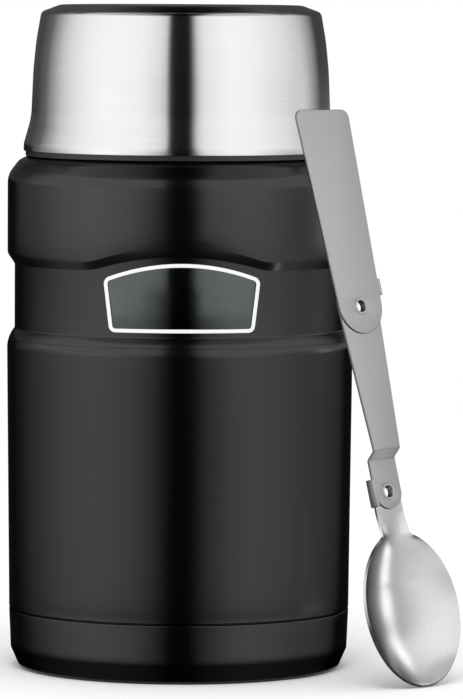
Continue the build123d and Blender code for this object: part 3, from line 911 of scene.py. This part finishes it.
@dataclass(frozen=True)
class SpoonPlates:
    """Handle and link: flat tumbled plates with round ends."""

    frame: SpoonFrame
    sizes: SpoonSizes = SpoonSizes()
    handle_length: float = 58.6
    handle_top_half: float = 10.3
    handle_end_half: float = 8.0
    handle_corner: float = 2.6
    handle_top_drop: float = 1.2
    link_top_half: float = 8.2
    link_low_half: float = 5.1
    full_round: float = 0.995
    corner_steps: int = 14
    hole_guard: float = 1.4
    hole_reach: float = 0.6
    jog_start: float = 41.8
    jog_length: float = 2.2
    jog_depth: float = 3.1
    jog_soft: float = 0.4
    jog_rows: int = 12
    tab_root: float = 5.8
    tab_inner: float = 8.4
    tab_low: float = 2.6
    tab_high: float = 7.4

    def blank(self, corners: Sequence[Triple], holes: Sequence[float]) -> BMesh:
        """Cuts a flat blank with round corners and rivet holes.

        Args:
            corners: Across, along and rounding offset of each corner, in order.
            holes: Place along the rivet line of each hole.

        Returns:
            The flat blank in the plane z = 0.
        """
        mesh = bmesh.new()
        points = [mesh.verts.new((x * MM, y * MM, 0.0)) for x, y, _ in corners]
        mesh.faces.new(points)
        for offset in sorted({corner[2] for corner in corners if corner[2]}):
            chosen = [p for p, corner in zip(points, corners) if corner[2] == offset]
            chosen = [p for p in chosen if p.is_valid]
            round_off(mesh, chosen, offset, self.corner_steps, affect="VERTICES")
        bmesh.ops.remove_doubles(mesh, verts=mesh.verts, dist=TOLERANCE)
        low = min(corner[1] for corner in corners)
        high = max(corner[1] for corner in corners)
        guard = self.sizes.hole + self.hole_guard
        rows = [place + side * guard for place in holes for side in (-1, 1)]
        slice_rows(mesh, Vector((0, 1, 0)), [row for row in rows if low < row < high])
        for place in holes:
            self.punch(mesh, place)
        return mesh

    def punch(self, mesh: BMesh, place: float) -> None:
        """Punches one rivet hole through a flat blank.

        Args:
            mesh: The blank.
            place: Place of the hole along the rivet line.
        """
        centre = Vector((0.0, place * MM, 0.0))
        around = [
            face
            for face in mesh.faces
            if abs(face.calc_center_bounds().y - centre.y) < self.hole_reach * MM
        ]
        border = [edge for face in around for edge in face.edges]
        bmesh.ops.delete(mesh, geom=around, context="FACES_ONLY")
        ring = bmesh.ops.create_circle(
            mesh,
            cap_ends=False,
            segments=self.sizes.hole_steps,
            radius=self.sizes.hole * MM,
            matrix=Matrix.Translation(centre),
        )["verts"]
        circle = {edge for point in ring for edge in point.link_edges}
        bmesh.ops.bridge_loops(mesh, edges=[*dict.fromkeys(border), *circle])

    def thicken(self, mesh: BMesh, bottom: float) -> BMesh:
        """Gives a blank its thickness and rounds its edges.

        Args:
            mesh: The flat blank, which is taken as its lower face.
            bottom: Height of the lower face.

        Returns:
            The plate.
        """
        bmesh.ops.translate(mesh, verts=mesh.verts, vec=(0, 0, bottom * MM))
        extrude_by(mesh, (0.0, 0.0, self.sizes.sheet))
        round_off(mesh, sharp_edges(mesh), self.sizes.edge, segments=3)
        return mesh

    def handle(self) -> BMesh:
        """Makes the handle's plate.

        Returns:
            The plate in the spoon's frame.
        """
        top, end, corner = self.handle_top_half, self.handle_end_half, self.handle_corner
        corners = (
            (-top, self.handle_length, corner),
            (-end, -end, end * self.full_round),
            (end, -end, end * self.full_round),
            (top, self.handle_length - self.handle_top_drop, corner),
        )
        return self.thicken(self.blank(corners, [0.0]), 0.0)

    def link(self) -> BMesh:
        """Makes the link's plate with its jog.

        Returns:
            The plate in the spoon's frame.
        """
        top, low = self.link_top_half, self.link_low_half
        end = -self.frame.span - low
        corners = (
            (-top, top, top * self.full_round),
            (-low, -self.jog_start, 0.0),
            (-low, end, low * self.full_round),
            (low, end, low * self.full_round),
            (low, -self.jog_start, 0.0),
            (top, top, top * self.full_round),
        )
        blank = self.blank(corners, [0.0, -self.frame.span])
        jog_end = self.jog_start + self.jog_length
        margin = 2 * self.jog_soft
        rows = evenly(-jog_end - margin, -self.jog_start + margin, self.jog_rows)
        slice_rows(blank, Vector((0, 1, 0)), rows)
        plate = self.thicken(blank, -self.sizes.sheet)
        for point in plate.verts:
            along = -point.co.y / MM
            share = smooth_step(self.jog_start - self.jog_soft, jog_end + self.jog_soft, along)
            point.co.z -= self.jog_depth * share * MM
        return plate

    def stop_tab(self) -> BMesh:
        """Makes the tab that turns up beside the handle.

        Returns:
            The tab in the spoon's frame.
        """
        sheet, root, inner = self.sizes.sheet, self.tab_root, self.tab_inner
        outer = inner + sheet
        section = (
            (root, -sheet), (outer, -sheet), (outer, sheet),
            (inner, sheet), (inner, 0.0), (root, 0.0),
        )
        return self.sizes.tab(section, self.tab_low, self.tab_high - self.tab_low)

    def build(self, steel: Material) -> list[Object]:
        """Builds the handle, the link and the stop tab.

        Args:
            steel: Finish of the plates.

        Returns:
            The pieces.
        """
        handle, link, tab = (
            self.frame.lay(mesh) for mesh in (self.handle(), self.link(), self.stop_tab())
        )
        upper, middle, slot = Body.SPOON_UPPER, Body.SPOON_MIDDLE, "spoon_sheet"
        return [
            add_piece("spoon_grip", handle, steel, upper, slot, "spoon_handle"),
            add_piece("spoon_arm", link, steel, middle, slot, "spoon_link"),
            add_piece("spoon_stop_tab", tab, steel, middle, slot),
        ]


@dataclass(frozen=True)
class SpoonBowl:
    """Pressed bowl that runs up through a soft gutter into its flat tang."""

    frame: SpoonFrame
    sizes: SpoonSizes = SpoonSizes()
    tang_half: float = 5.2
    tang_front: float = -4.1
    shoulder: float = 4.0
    start: float = 12.4
    length: float = 44.2
    half_width: float = 18.0
    rim_height: float = -2.6
    rim_from: float = 5.5
    rim_past_start: float = 5.0
    gutter_from: float = 4.5
    gutter_past_start: float = 14.0
    shallow: float = 4.9
    depth: float = 6.2
    toe_power: float = 2.8
    toe_soft: float = 1.1
    wall: float = 0.8
    rim_edge: float = 0.22
    rim_edge_degrees: float = 50.0
    across_steps: int = 28
    along_steps: int = 150
    even_share: float = 0.35
    end_gap: float = 0.02
    hole_inset: float = 0.05
    hole_ring: float = 0.9
    flange_root: float = -3.9
    flange_inner: float = -5.6
    flange_half: float = 4.0
    flange_rise: float = 3.4

    def middle(self) -> float:
        """Place of the bowl's middle along the rivet line."""
        return -self.frame.span - self.start - self.length / 2

    def reach(self, along: float) -> float:
        """Distance of a place from the bowl's middle, as a share of half its length."""
        return (along - self.middle()) / (self.length / 2)

    def half_at(self, along: float) -> float:
        """Half the width of the blank at a place along the rivet line.

        Args:
            along: Place along the rivet line.

        Returns:
            Half the width.
        """
        below = -self.frame.span - along
        if below < 0:
            return math.sqrt(max(0.0, self.tang_half**2 - below**2))
        oval = 1 - self.reach(along) ** 2
        if along < self.middle():
            return self.half_width * math.sqrt(max(0.0, oval))
        gap = self.tang_half**2 - self.half_width**2 * oval
        blend = math.sqrt(gap**2 + self.shoulder**4)
        return math.sqrt(self.tang_half**2 - 0.5 * gap + 0.5 * blend)

    def surface(self, across: float, along: float) -> float:
        """Height of the front face at a place.

        Args:
            across: Place across the blank, from -1 to 1 of its half width.
            along: Place along the rivet line.

        Returns:
            The height.
        """
        below = -self.frame.span - along
        rim_share = smooth_step(self.rim_from, self.start + self.rim_past_start, below)
        rim = self.tang_front + (self.rim_height - self.tang_front) * rim_share
        share = min(1.0, max(0.0, (below - self.start) / self.length))
        deepest = self.shallow + (self.depth - self.shallow) * share
        deepest *= smooth_step(self.gutter_from, self.start + self.gutter_past_start, below)
        toe = max(0.0, -self.reach(along))
        deepest *= max(0.0, 1 - toe**self.toe_power) ** self.toe_soft
        return rim - deepest * (1 - across * across)

    def scoop(self) -> BMesh:
        """Shapes the tang and the bowl from one grid.

        Returns:
            The solid blank in the spoon's frame.
        """
        mesh = bmesh.new()
        bmesh.ops.create_grid(
            mesh, x_segments=self.across_steps, y_segments=self.along_steps, size=1.0
        )
        top = -self.frame.span + self.tang_half
        bottom = self.middle() - self.length / 2
        for point in mesh.verts:
            across = point.co.x
            share = (1 - point.co.y) / 2
            swing = 0.5 - 0.5 * math.cos(math.pi * share)
            # The rows lie closer together at both ends, where the outline turns fastest.
            spacing = self.even_share * share + (1 - self.even_share) * swing
            along = top + (bottom - top) * spacing
            along = min(top - self.end_gap, max(bottom + self.end_gap, along))
            height = self.surface(across, along)
            point.co = Vector((across * self.half_at(along), along, height)) * MM
        self.open_hole(mesh)
        bmesh.ops.recalc_face_normals(mesh, faces=mesh.faces)
        if sum(face.normal.z for face in mesh.faces) < 0:
            bmesh.ops.reverse_faces(mesh, faces=mesh.faces)
        bmesh.ops.solidify(mesh, geom=mesh.faces[:], thickness=self.wall * MM)
        return mesh

    def open_hole(self, mesh: BMesh) -> None:
        """Opens the rivet hole in the tang and draws its edge to a circle.

        Args:
            mesh: The blank, before it gets its wall.
        """
        centre = Vector((0.0, -self.frame.span * MM))
        hole = self.sizes.hole
        inner = [
            face
            for face in mesh.faces
            if (face.calc_center_median().xy - centre).length < (hole - self.hole_inset) * MM
        ]
        bmesh.ops.delete(mesh, geom=inner, context="FACES")
        for edge in [edge for edge in mesh.edges if edge.is_boundary]:
            for point in edge.verts:
                away = point.co.xy - centre
                if away.length < (hole + self.hole_ring) * MM:
                    point.co.x, point.co.y = away.normalized() * hole * MM + centre

    def flange(self) -> BMesh:
        """Makes the stop flange that turns up beside the link.

        Returns:
            The flange in the spoon's frame.
        """
        root, inner, front = self.flange_root, self.flange_inner, self.tang_front
        outer, low = inner - self.sizes.sheet, front - self.sizes.sheet
        section = (
            (root, low), (outer, low), (outer, low + self.flange_rise),
            (inner, low + self.flange_rise), (inner, front), (root, front),
        )
        return self.sizes.tab(
            section, -self.frame.span - self.flange_half, 2 * self.flange_half
        )

    def build(self, steel: Material, sheet: Material) -> list[Object]:
        """Builds the bowl with its tang, and the stop flange.

        Args:
            steel: Finish of the bowl.
            sheet: Finish of the flange.

        Returns:
            The pieces.
        """
        scoop, flange = self.frame.lay(self.scoop()), self.frame.lay(self.flange())
        body = Body.SPOON_LOWER
        bowl = add_piece("spoon_scoop", scoop, steel, body, "spoon_polished", "spoon_bowl")
        rounding = bowl.modifiers.new("rim_round", "BEVEL")
        rounding.width = self.rim_edge * MM
        rounding.segments = 3
        rounding.limit_method = "ANGLE"
        rounding.angle_limit = math.radians(self.rim_edge_degrees)
        return [bowl, add_piece("spoon_stop_flange", flange, sheet, body, "spoon_sheet")]


@dataclass(frozen=True)
class Eyelets:
    """Hollow rivets with rolled heads."""

    frame: SpoonFrame
    bore: float = 1.65
    barrel: float = 2.04
    head: float = 2.5
    head_height: float = 0.22
    front_roll: float = 0.28
    back_roll: float = 0.2
    handle_stack: tuple[float, float] = (-1.0, 1.0)
    bowl_stack: tuple[float, float] = (-5.1, -3.1)

    def eyelet(self, bottom: float, top: float, place: float) -> BMesh:
        """Makes one rivet.

        Args:
            bottom: Height of the sheets' back face.
            top: Height of the sheets' front face.
            place: Place of the rivet along the rivet line.

        Returns:
            The rivet in the spoon's frame.
        """
        rise = self.head_height
        outline = (
            (self.bore, bottom - rise, self.back_roll), (self.head, bottom - rise, rise),
            (self.head, bottom), (self.barrel, bottom), (self.barrel, top), (self.head, top),
            (self.head, top + rise, rise), (self.bore, top + rise, self.front_roll),
        )
        mesh = turned(outline, segments=4, steps=48)
        bmesh.ops.translate(mesh, verts=mesh.verts, vec=(0, place * MM, 0))
        return mesh

    def build(self, steel: Material) -> list[Object]:
        """Builds both rivets.

        Args:
            steel: Finish of the rivets.

        Returns:
            The rivets.
        """
        upper = self.frame.lay(self.eyelet(*self.handle_stack, 0.0))
        lower = self.frame.lay(self.eyelet(*self.bowl_stack, -self.frame.span))
        body, slot = Body.SPOON_MIDDLE, "rivet_steel"
        return [
            add_piece("grip_eyelet", upper, steel, body, slot, "handle_rivet"),
            add_piece("scoop_eyelet", lower, steel, body, slot, "bowl_rivet"),
        ]


# ------------------------------------------------------------------ carried-over nodes
@dataclass(frozen=True)
class PlainNodes:
    """CAD nodes that are shown as they are, with their own finishes."""

    finishes: dict[str, Finish]

    def dress(self, nodes: dict[str, Object]) -> None:
        """Gives each node its material.

        Args:
            nodes: The frame's node objects, by name.
        """
        made: dict[Finish, Material] = {}
        for name, finish in self.finishes.items():
            if finish not in made:
                made[finish] = finish.material()
            slots = nodes[name].material_slots
            for slot in slots:
                slot.material = made[finish]
            if not slots:
                nodes[name].data.materials.append(made[finish])
            LOG.info("%s keeps its CAD mesh, finish %s", name, finish.name)


# ------------------------------------------------------------------ the studio
@dataclass(frozen=True)
class Studio:
    """Plain white studio: a pale floor, an even white surround, a weak lamp and soft panels.

    The panels stand round the jar as one curved wall, with a low ring at its foot. Only
    reflections see them. Their brightness runs with the compass direction and the height, with a
    dark slot in front and dark sides. Two small cards light the spoon's jog and bowl, and a dim
    flag keeps the bowl's card out of the jar's wall.
    """

    floor_radius: float = 1700.0
    floor_sides: int = 96
    floor_drop: float = 0.02
    floor_colour: str = "#FCFCFC"
    fade_start: float = 300.0
    fade_end: float = 1200.0
    wall_radius: float = 450.0
    wall_height: float = 520.0
    wall_foot: float = 47.5
    wall_steps: int = 120
    strip_height: float = 0.3
    strip_top: float = 1.0
    ceiling_low: float = 518.0
    ceiling_hole: float = 2.0
    ring_radius: float = 70.0
    ring_bottom: float = 1.2
    ring_top: float = 13.5
    mirror_focus: float = 25.0
    panel_peak: float = 2.5
    side_rise: tuple[float, float] = (92.0, 107.0)
    high_rise: tuple[float, float] = (150.0, 166.0)
    ceiling_fade: tuple[float, float] = (60.0, 160.0)
    ceiling_levels: tuple[float, float] = (0.55, 0.1)
    lamp_watts: float = 9.0
    lamp_size: float = 900.0
    lamp_place: Triple = (0.0, -1200.0, 1500.0)
    lamp_aim: Triple = (20.0, -30.0, 20.0)
    low_stops: Pairs = (
        (-146, 0.01), (-130, 0.07), (-109, 0.35), (-84, 0.92), (-64, 1.25), (-50, 1.25),
        (-29, 0.95), (-19, 0.58), (-9, 0.14), (-5, 0.0), (7, 0.0), (11, 0.1), (19, 0.48),
        (36, 1.09), (50, 1.25), (72, 1.03), (94, 0.65), (121, 0.28), (146, 0.01),
    )
    high_stops: Pairs = (
        (-150, 0.08), (-131, 0.19), (-118, 0.58), (-107, 0.98), (-97, 1.22), (-79, 1.5),
        (-57, 1.62), (-30, 1.54), (-17, 1.31), (-11, 1.05), (-8, 0.02), (7, 0.01),
        (9, 0.1), (14, 1.08), (20, 1.4), (40, 1.61), (60, 1.55), (76, 1.41), (92, 1.25),
        (112, 0.94), (124, 0.58), (140, 0.07),
    )
    side_stops: Pairs = (
        (-146, 0.01), (-109, 0.5), (-84, 1.33), (-64, 1.8), (-50, 1.8), (-29, 1.38),
        (-19, 0.84), (-9, 0.2), (-5, 0.0), (7, 0.0), (11, 0.15), (18, 1.3), (40, 1.6),
        (54, 1.52), (62, 1.34), (72, 1.04), (82, 0.8), (93, 0.68), (103, 0.9),
        (110, 1.5), (116, 1.5), (124, 0.8), (132, 0.5), (150, 0.3),
    )
    floor_stops: Pairs = (
        (50, 0.1), (62, 0.1), (72, 0.06), (122, 0.06), (142, 1.0),
    )
    cards: tuple[tuple[str, float, tuple[Triple, ...]], ...] = (
        ("jog_card", 1.8, ((92, -28, 0.8), (128, -28, 0.8), (128, 14, 0.8), (92, 14, 0.8))),
        ("bowl_card", 2.4, ((103, -38, 25), (100, -28, 25), (100, -28, 35), (103, -38, 35))),
        ("bowl_flag", 0.68, ((50, -38.5, 26), (50, -31.2, 26), (50, -31.2, 48), (50, -38.5, 48))),
    )

    def build(self) -> None:
        """Builds the surround, the cards, the floor, the panels and the lamp."""
        self.surround()
        cards = [self.card(*card) for card in self.cards]
        self.floor()
        self.panels()
        self.fill()

    def surround(self) -> None:
        """Sets the even white light that comes from all round."""
        world = bpy.data.worlds.new("white_surround")
        world.use_nodes = True
        world.node_tree.nodes.clear()
        light = add_node(world.node_tree, "Background", Color=(1.0, 1.0, 1.0, 1.0), Strength=1.0)
        add_node(world.node_tree, "OutputWorld", Surface=light.outputs["Background"])
        bpy.context.scene.world = world

    def floor(self) -> Object:
        """Builds the round pale floor, which fades into the surround far from the jar.

        Returns:
            The floor.
        """
        mesh = bmesh.new()
        bmesh.ops.create_circle(
            mesh, cap_ends=True, segments=self.floor_sides, radius=self.floor_radius * MM
        )
        bmesh.ops.translate(mesh, verts=mesh.verts, vec=(0, 0, -self.floor_drop * MM))
        material, tree = bare_material("pale_floor")
        place = add_node(tree, "TexCoord").outputs["Object"]
        distance = add_node(tree, "VectorMath", {"operation": "LENGTH"}, input_0=place)
        fade = add_node(
            tree,
            "MapRange",
            SMOOTH_FADE,
            Value=distance.outputs["Value"],
            From_Min=self.fade_start * MM,
            From_Max=self.fade_end * MM,
        )
        matt = add_node(tree, "BsdfDiffuse", Color=linear(self.floor_colour))
        clear = add_node(tree, "BsdfTransparent")
        mix = add_node(
            tree,
            "MixShader",
            Fac=fade.outputs["Result"],
            input_1=matt.outputs["BSDF"],
            input_2=clear.outputs["BSDF"],
        )
        add_node(tree, "OutputMaterial", Surface=mix.outputs["Shader"])
        return finish_piece("studio_floor", mesh, material)

    def compass(
        self, tree: NodeTree, axes: NodeOutputs, ceiling: NodeSocket
    ) -> tuple[NodeSocket, NodeSocket]:
        """Finds how far out a point is, and the direction in which the jar's side mirrors it.

        Args:
            tree: The panels' node tree.
            axes: The point's X, Y and Z.
            ceiling: 1 on the ceiling, where the pattern runs straight back.

        Returns:
            The distance from the axis, and the direction from 0 to 1 with the front at 0.5.
        """
        flat = add_node(tree, "CombineXYZ", X=axes["X"], Y=axes["Y"]).outputs["Vector"]
        radius = add_node(tree, "VectorMath", {"operation": "LENGTH"}, input_0=flat)
        radius = radius.outputs["Value"]
        toward = add_node(tree, "Math", {"operation": "MULTIPLY"}, input_0=axes["Y"], input_1=-1.0)
        depth = add_node(
            tree,
            "Mix",
            input_0=ceiling,
            input_2=toward.outputs[0],
            input_3=self.wall_radius * MM,
        ).outputs[0]
        angle = add_node(
            tree, "Math", {"operation": "ARCTAN2"}, input_0=axes["X"], input_1=depth
        )
        # The jar's side mirrors a near point as if it stood further round than it does.
        near = add_node(
            tree, "Math", {"operation": "DIVIDE"}, input_0=-self.mirror_focus * MM, input_1=radius
        )
        share = add_node(
            tree, "Math", {"operation": "ADD"}, input_0=near.outputs[0], input_1=1.0
        )
        mirrored = add_node(
            tree,
            "Math",
            {"operation": "DIVIDE"},
            input_0=angle.outputs[0],
            input_1=share.outputs[0],
        )
        around = add_node(
            tree, "MapRange", Value=mirrored.outputs[0], From_Min=-math.pi, From_Max=math.pi
        )
        return radius, around.outputs["Result"]

    def brightness(
        self, tree: NodeTree, height: NodeSocket, ceiling: NodeSocket, around: NodeSocket
    ) -> NodeSocket:
        """Works out the panels' brightness from the direction and the height.

        Args:
            tree: The panels' node tree.
            height: Height above the floor.
            ceiling: 1 on the ceiling, which keeps the brightness of the wall's middle.
            around: Direction from 0 to 1 with the front at 0.5.

        Returns:
            The brightness, as a share of the peak.
        """
        low, side, high = (
            add_node(
                tree,
                "ValToRGB",
                stops=[((turn + 180) / 360, level / self.panel_peak) for turn, level in stops],
                Fac=around,
            ).outputs["Color"]
            for stops in (self.low_stops, self.side_stops, self.high_stops)
        )
        middle, top = (
            add_node(
                tree,
                "MapRange",
                SMOOTH_FADE,
                Value=height,
                From_Min=start * MM,
                From_Max=end * MM,
            ).outputs["Result"]
            for start, end in (self.side_rise, self.high_rise)
        )
        wall_top = add_node(
            tree, "Math", {"operation": "SUBTRACT"}, input_0=top, input_1=ceiling
        ).outputs[0]
        level = low
        for share, upper in ((middle, side), (wall_top, high)):
            level = add_node(
                tree, "Mix", {"data_type": "RGBA"}, input_0=share, input_6=level, input_7=upper
            ).outputs[2]
        return level

    def panel_material(self) -> Material:
        """Makes the glow of the panels, the ring, the floor strip and the ceiling.

        Returns:
            The material.
        """
        material, tree = bare_material("soft_panel")
        place = add_node(tree, "TexCoord").outputs["Object"]
        axes = add_node(tree, "SeparateXYZ", Vector=place).outputs
        ceiling, off_floor = (
            add_node(
                tree, "Math", {"operation": "GREATER_THAN"}, input_0=axes["Z"], input_1=limit * MM
            ).outputs[0]
            for limit in (self.ceiling_low, self.strip_top)
        )
        radius, around = self.compass(tree, axes, ceiling)
        level = self.brightness(tree, axes["Z"], ceiling, around)
        out = add_node(tree, "MapRange", Value=radius, From_Max=self.wall_radius * MM)
        strip = add_node(
            tree,
            "ValToRGB",
            stops=[(far / self.wall_radius, share) for far, share in self.floor_stops],
            Fac=out.outputs["Result"],
        )
        on_floor = add_node(
            tree, "Mix", input_0=off_floor, input_2=strip.outputs["Color"], input_3=1.0
        )
        start, end = self.ceiling_fade
        front = add_node(
            tree,
            "MapRange",
            SMOOTH_FADE,
            Value=axes["Y"],
            From_Min=start * MM,
            From_Max=end * MM,
            To_Min=self.ceiling_levels[0],
            To_Max=self.ceiling_levels[1],
        )
        on_ceiling = add_node(
            tree, "Mix", input_0=ceiling, input_2=1.0, input_3=front.outputs["Result"]
        )
        strength = self.panel_peak
        for factor in (on_floor, on_ceiling):
            strength = add_node(
                tree,
                "Math",
                {"operation": "MULTIPLY"},
                input_0=factor.outputs[0],
                input_1=strength,
            ).outputs[0]
        glow = add_node(tree, "Emission", Color=level, Strength=strength)
        add_node(tree, "OutputMaterial", Surface=glow.outputs["Emission"])
        return material

    def panels(self) -> Object:
        """Builds the curved wall of panels with its ring, floor strip and dark ceiling.

        Returns:
            The wall.
        """
        ring = ((self.ring_radius, self.ring_bottom), (self.ring_radius, self.ring_top))
        wall = (
            (self.wall_foot, self.strip_height), (self.wall_radius, self.strip_height),
            (self.wall_radius, self.wall_height), (self.ceiling_hole, self.wall_height),
        )
        mesh = bmesh.new()
        for line in (ring, wall):
            spin_line(mesh, line, False, self.wall_steps)
        return self.for_reflections(finish_piece("studio_panels", mesh, self.panel_material()))

    def card(self, name: str, level: float, corners: Sequence[Triple]) -> Object:
        """Builds a flat glowing card or flag.

        Args:
            name: Name of the card.
            level: Brightness of the card.
            corners: Places of its corners.

        Returns:
            The card.
        """
        mesh = bmesh.new()
        mesh.faces.new([mesh.verts.new(Vector(corner) * MM) for corner in corners])
        material, tree = bare_material(name)
        glow = add_node(tree, "Emission", Strength=level)
        add_node(tree, "OutputMaterial", Surface=glow.outputs["Emission"])
        return self.for_reflections(finish_piece(name, mesh, material))

    @staticmethod
    def for_reflections(piece: Object) -> Object:
        """Leaves a piece of the studio visible to reflections alone."""
        for ray in ("camera", "diffuse", "transmission", "volume_scatter", "shadow"):
            setattr(piece, f"visible_{ray}", False)
        return piece

    def fill(self) -> Object:
        """Builds the soft lamp above the camera that fills the shade at the jar's foot.

        Returns:
            The lamp.
        """
        data = bpy.data.lights.new("fill", "AREA")
        data.shape = "DISK"
        data.size = self.lamp_size * MM
        data.energy = self.lamp_watts
        lamp = bpy.data.objects.new("fill", data)
        place = Vector(self.lamp_place) * MM
        aim = (Vector(self.lamp_aim) * MM - place).to_track_quat("-Z", "Y")
        lamp.matrix_world = Matrix.Translation(place) @ aim.to_matrix().to_4x4()
        lamp.visible_glossy = False
        lamp.visible_camera = False
        bpy.context.scene.collection.objects.link(lamp)
        return lamp


@dataclass(frozen=True)
class ViewPoint:
    """The camera: a long lens a little above the jar, looking slightly down."""

    position: Triple = (15.1585, -1677.0, 207.79)
    pitch_degrees: float = 3.9115
    roll_degrees: float = 0.28746
    focal_pixels: float = 5727.09
    frame_height: int = 699
    sensor: float = 36.0
    clip_near: float = 50.0
    clip_far: float = 60000.0

    def build(self) -> None:
        """Builds the camera and makes it the scene's camera."""
        data = bpy.data.cameras.new("view")
        data.sensor_width = self.sensor
        data.lens = self.focal_pixels / self.frame_height * self.sensor
        data.clip_start = self.clip_near * MM
        data.clip_end = self.clip_far * MM
        tilt = Matrix.Rotation(math.radians(90 - self.pitch_degrees), 4, "X")
        roll = Matrix.Rotation(math.radians(self.roll_degrees), 4, "Z")
        camera = bpy.data.objects.new("view", data)
        camera.matrix_world = Matrix.Translation(Vector(self.position) * MM) @ tilt @ roll
        bpy.context.scene.collection.objects.link(camera)
        bpy.context.scene.camera = camera


# ------------------------------------------------------------------ the whole object
# Black enamel: nearly all that shows on it is what it mirrors.
ENAMEL = Enamel("black_baked_enamel", "#030303", 0.17, mottle=0.1)
# Light plastic rim of the badge: even, with soft highlights on its rounded edge.
BADGE_WHITE = Moulded(
    "white_badge_rim", "#E6E6E4", 0.35, mottle=0.02, relief=Pattern(0.6, 2.0)
)
# Dark metallised film: a dim, slightly uneven mirror.
BADGE_DARK = Moulded(
    "dark_badge_foil", "#4B504D", 0.12, 1.0, 0.04, relief=Pattern(1.2, 2.0)
)
# Lid turned against fine grit: reflections are drawn up and down across its marks.
LID_STEEL = Steel(
    "brushed_lid_steel", "#C8C7C6", 0.16, patches=Pattern(0.9), relief=Pattern(0.3, 4.0),
    depth=0.004, spread=0.04, grain=Grain.AROUND_AXIS, stretch=240.0,
)
# Rolled rivet heads, dulled in the tumbler.
RIVET_STEEL = Steel("rivet_steel_plain", "#A8A8A7", 0.4)
# Satin black and charcoal plastic with no gloss to speak of.
BLACK_PLASTIC = Moulded("black_polypropylene", "#111113", 0.42, mottle=0.1)
STOPPER_PLASTIC = Moulded("charcoal_polypropylene", "#1A1A1C", 0.5)
# Vessel spun and sanded round its axis: duller than the lid.
VESSEL_STEEL = Steel(
    "satin_vessel_steel", "#C8C7C5", 0.32, patches=Pattern(1.2), relief=Pattern(0.4, 4.0),
    grain=Grain.AROUND_AXIS, stretch=160.0,
)
PLAIN_NODES = PlainNodes(
    {
        "vacuum_floor": VESSEL_STEEL,
        "inner_vessel": VESSEL_STEEL,
        "vacuum_plug": Steel("brazed_plug_metal", "#8F8B85", 0.45, mottle=0.08),
        "getter": Steel(
            "sintered_getter", "#7D7D80", 0.6, mottle=0.12, patches=Pattern(0.9),
            relief=Pattern(0.3, 4.0), spread=0.08,
        ),
        "base_pad": Rubbery("black_pad_rubber", "#26262A", 0.8),
        "radiation_foil": Foil("copper_foil", "#D98C5F", 0.28),
        "neck_collar": BLACK_PLASTIC,
        "lid_liner": BLACK_PLASTIC,
        "stopper_body": STOPPER_PLASTIC,
        "stopper_cover": STOPPER_PLASTIC,
        "stopper_foam": Foam("cream_polyurethane_foam", "#E6DFC8", 0.9),
        "lid_foam": Foam("cream_lid_foam", "#E6DFC8", 0.9),
        "stopper_seal": Rubbery("grey_silicone", "#B9B9B6", 0.45, sheen=0.1),
    }
)


@dataclass(frozen=True)
class FoodJar:
    """The whole object: flask, badge, lid and folding spoon around the CAD nodes."""

    frame: dict

    def build(self) -> None:
        """Builds every piece in order and dresses the carried-over nodes."""
        enamel = ENAMEL.material()
        JarShell().build(enamel)
        JarBase().build(enamel)
        Badge().build(BADGE_WHITE.material(), BADGE_DARK.material())
        LidShell().build(LID_STEEL.material())
        spoon = SpoonFrame.from_joints(self.frame["joints"])
        turn = spoon.grain_turn()
        # Sheet tumbled with stones: pale and soft, with short marks along the spoon.
        sheet = Steel(
            "tumbled_spoon_sheet", "#A1A1A1", 0.42, mottle=0.06, depth=0.012, stretch=5.0,
            turn=turn,
        ).material()
        # Bowl buffed after the press: brighter, with wider and shallower marks.
        buffed = Steel(
            "buffed_spoon_bowl", "#BDBDBC", 0.23, mottle=0.04, patches=Pattern(1.5),
            relief=Pattern(0.5, 4.0), depth=0.004, spread=0.04, stretch=5.0, turn=turn,
        ).material()
        pieces = [
            *SpoonPlates(spoon).build(sheet),
            *SpoonBowl(spoon).build(buffed, sheet),
            *Eyelets(spoon).build(RIVET_STEEL.material()),
        ]
        # The jar's polished walls show the panels alone, without a reflection of the spoon.
        for piece in pieces:
            piece.visible_glossy = False
        PLAIN_NODES.dress(self.frame["nodes"])


def main() -> None:
    """Builds the scene round the frame."""
    logging.basicConfig(level=logging.INFO, format="%(message)s")
    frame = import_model()
    scene = bpy.context.scene
    scene.view_settings.view_transform = "Standard"
    ViewPoint().build()
    Studio().build()
    FoodJar(frame).build()


if __name__ == "__main__":
    main()
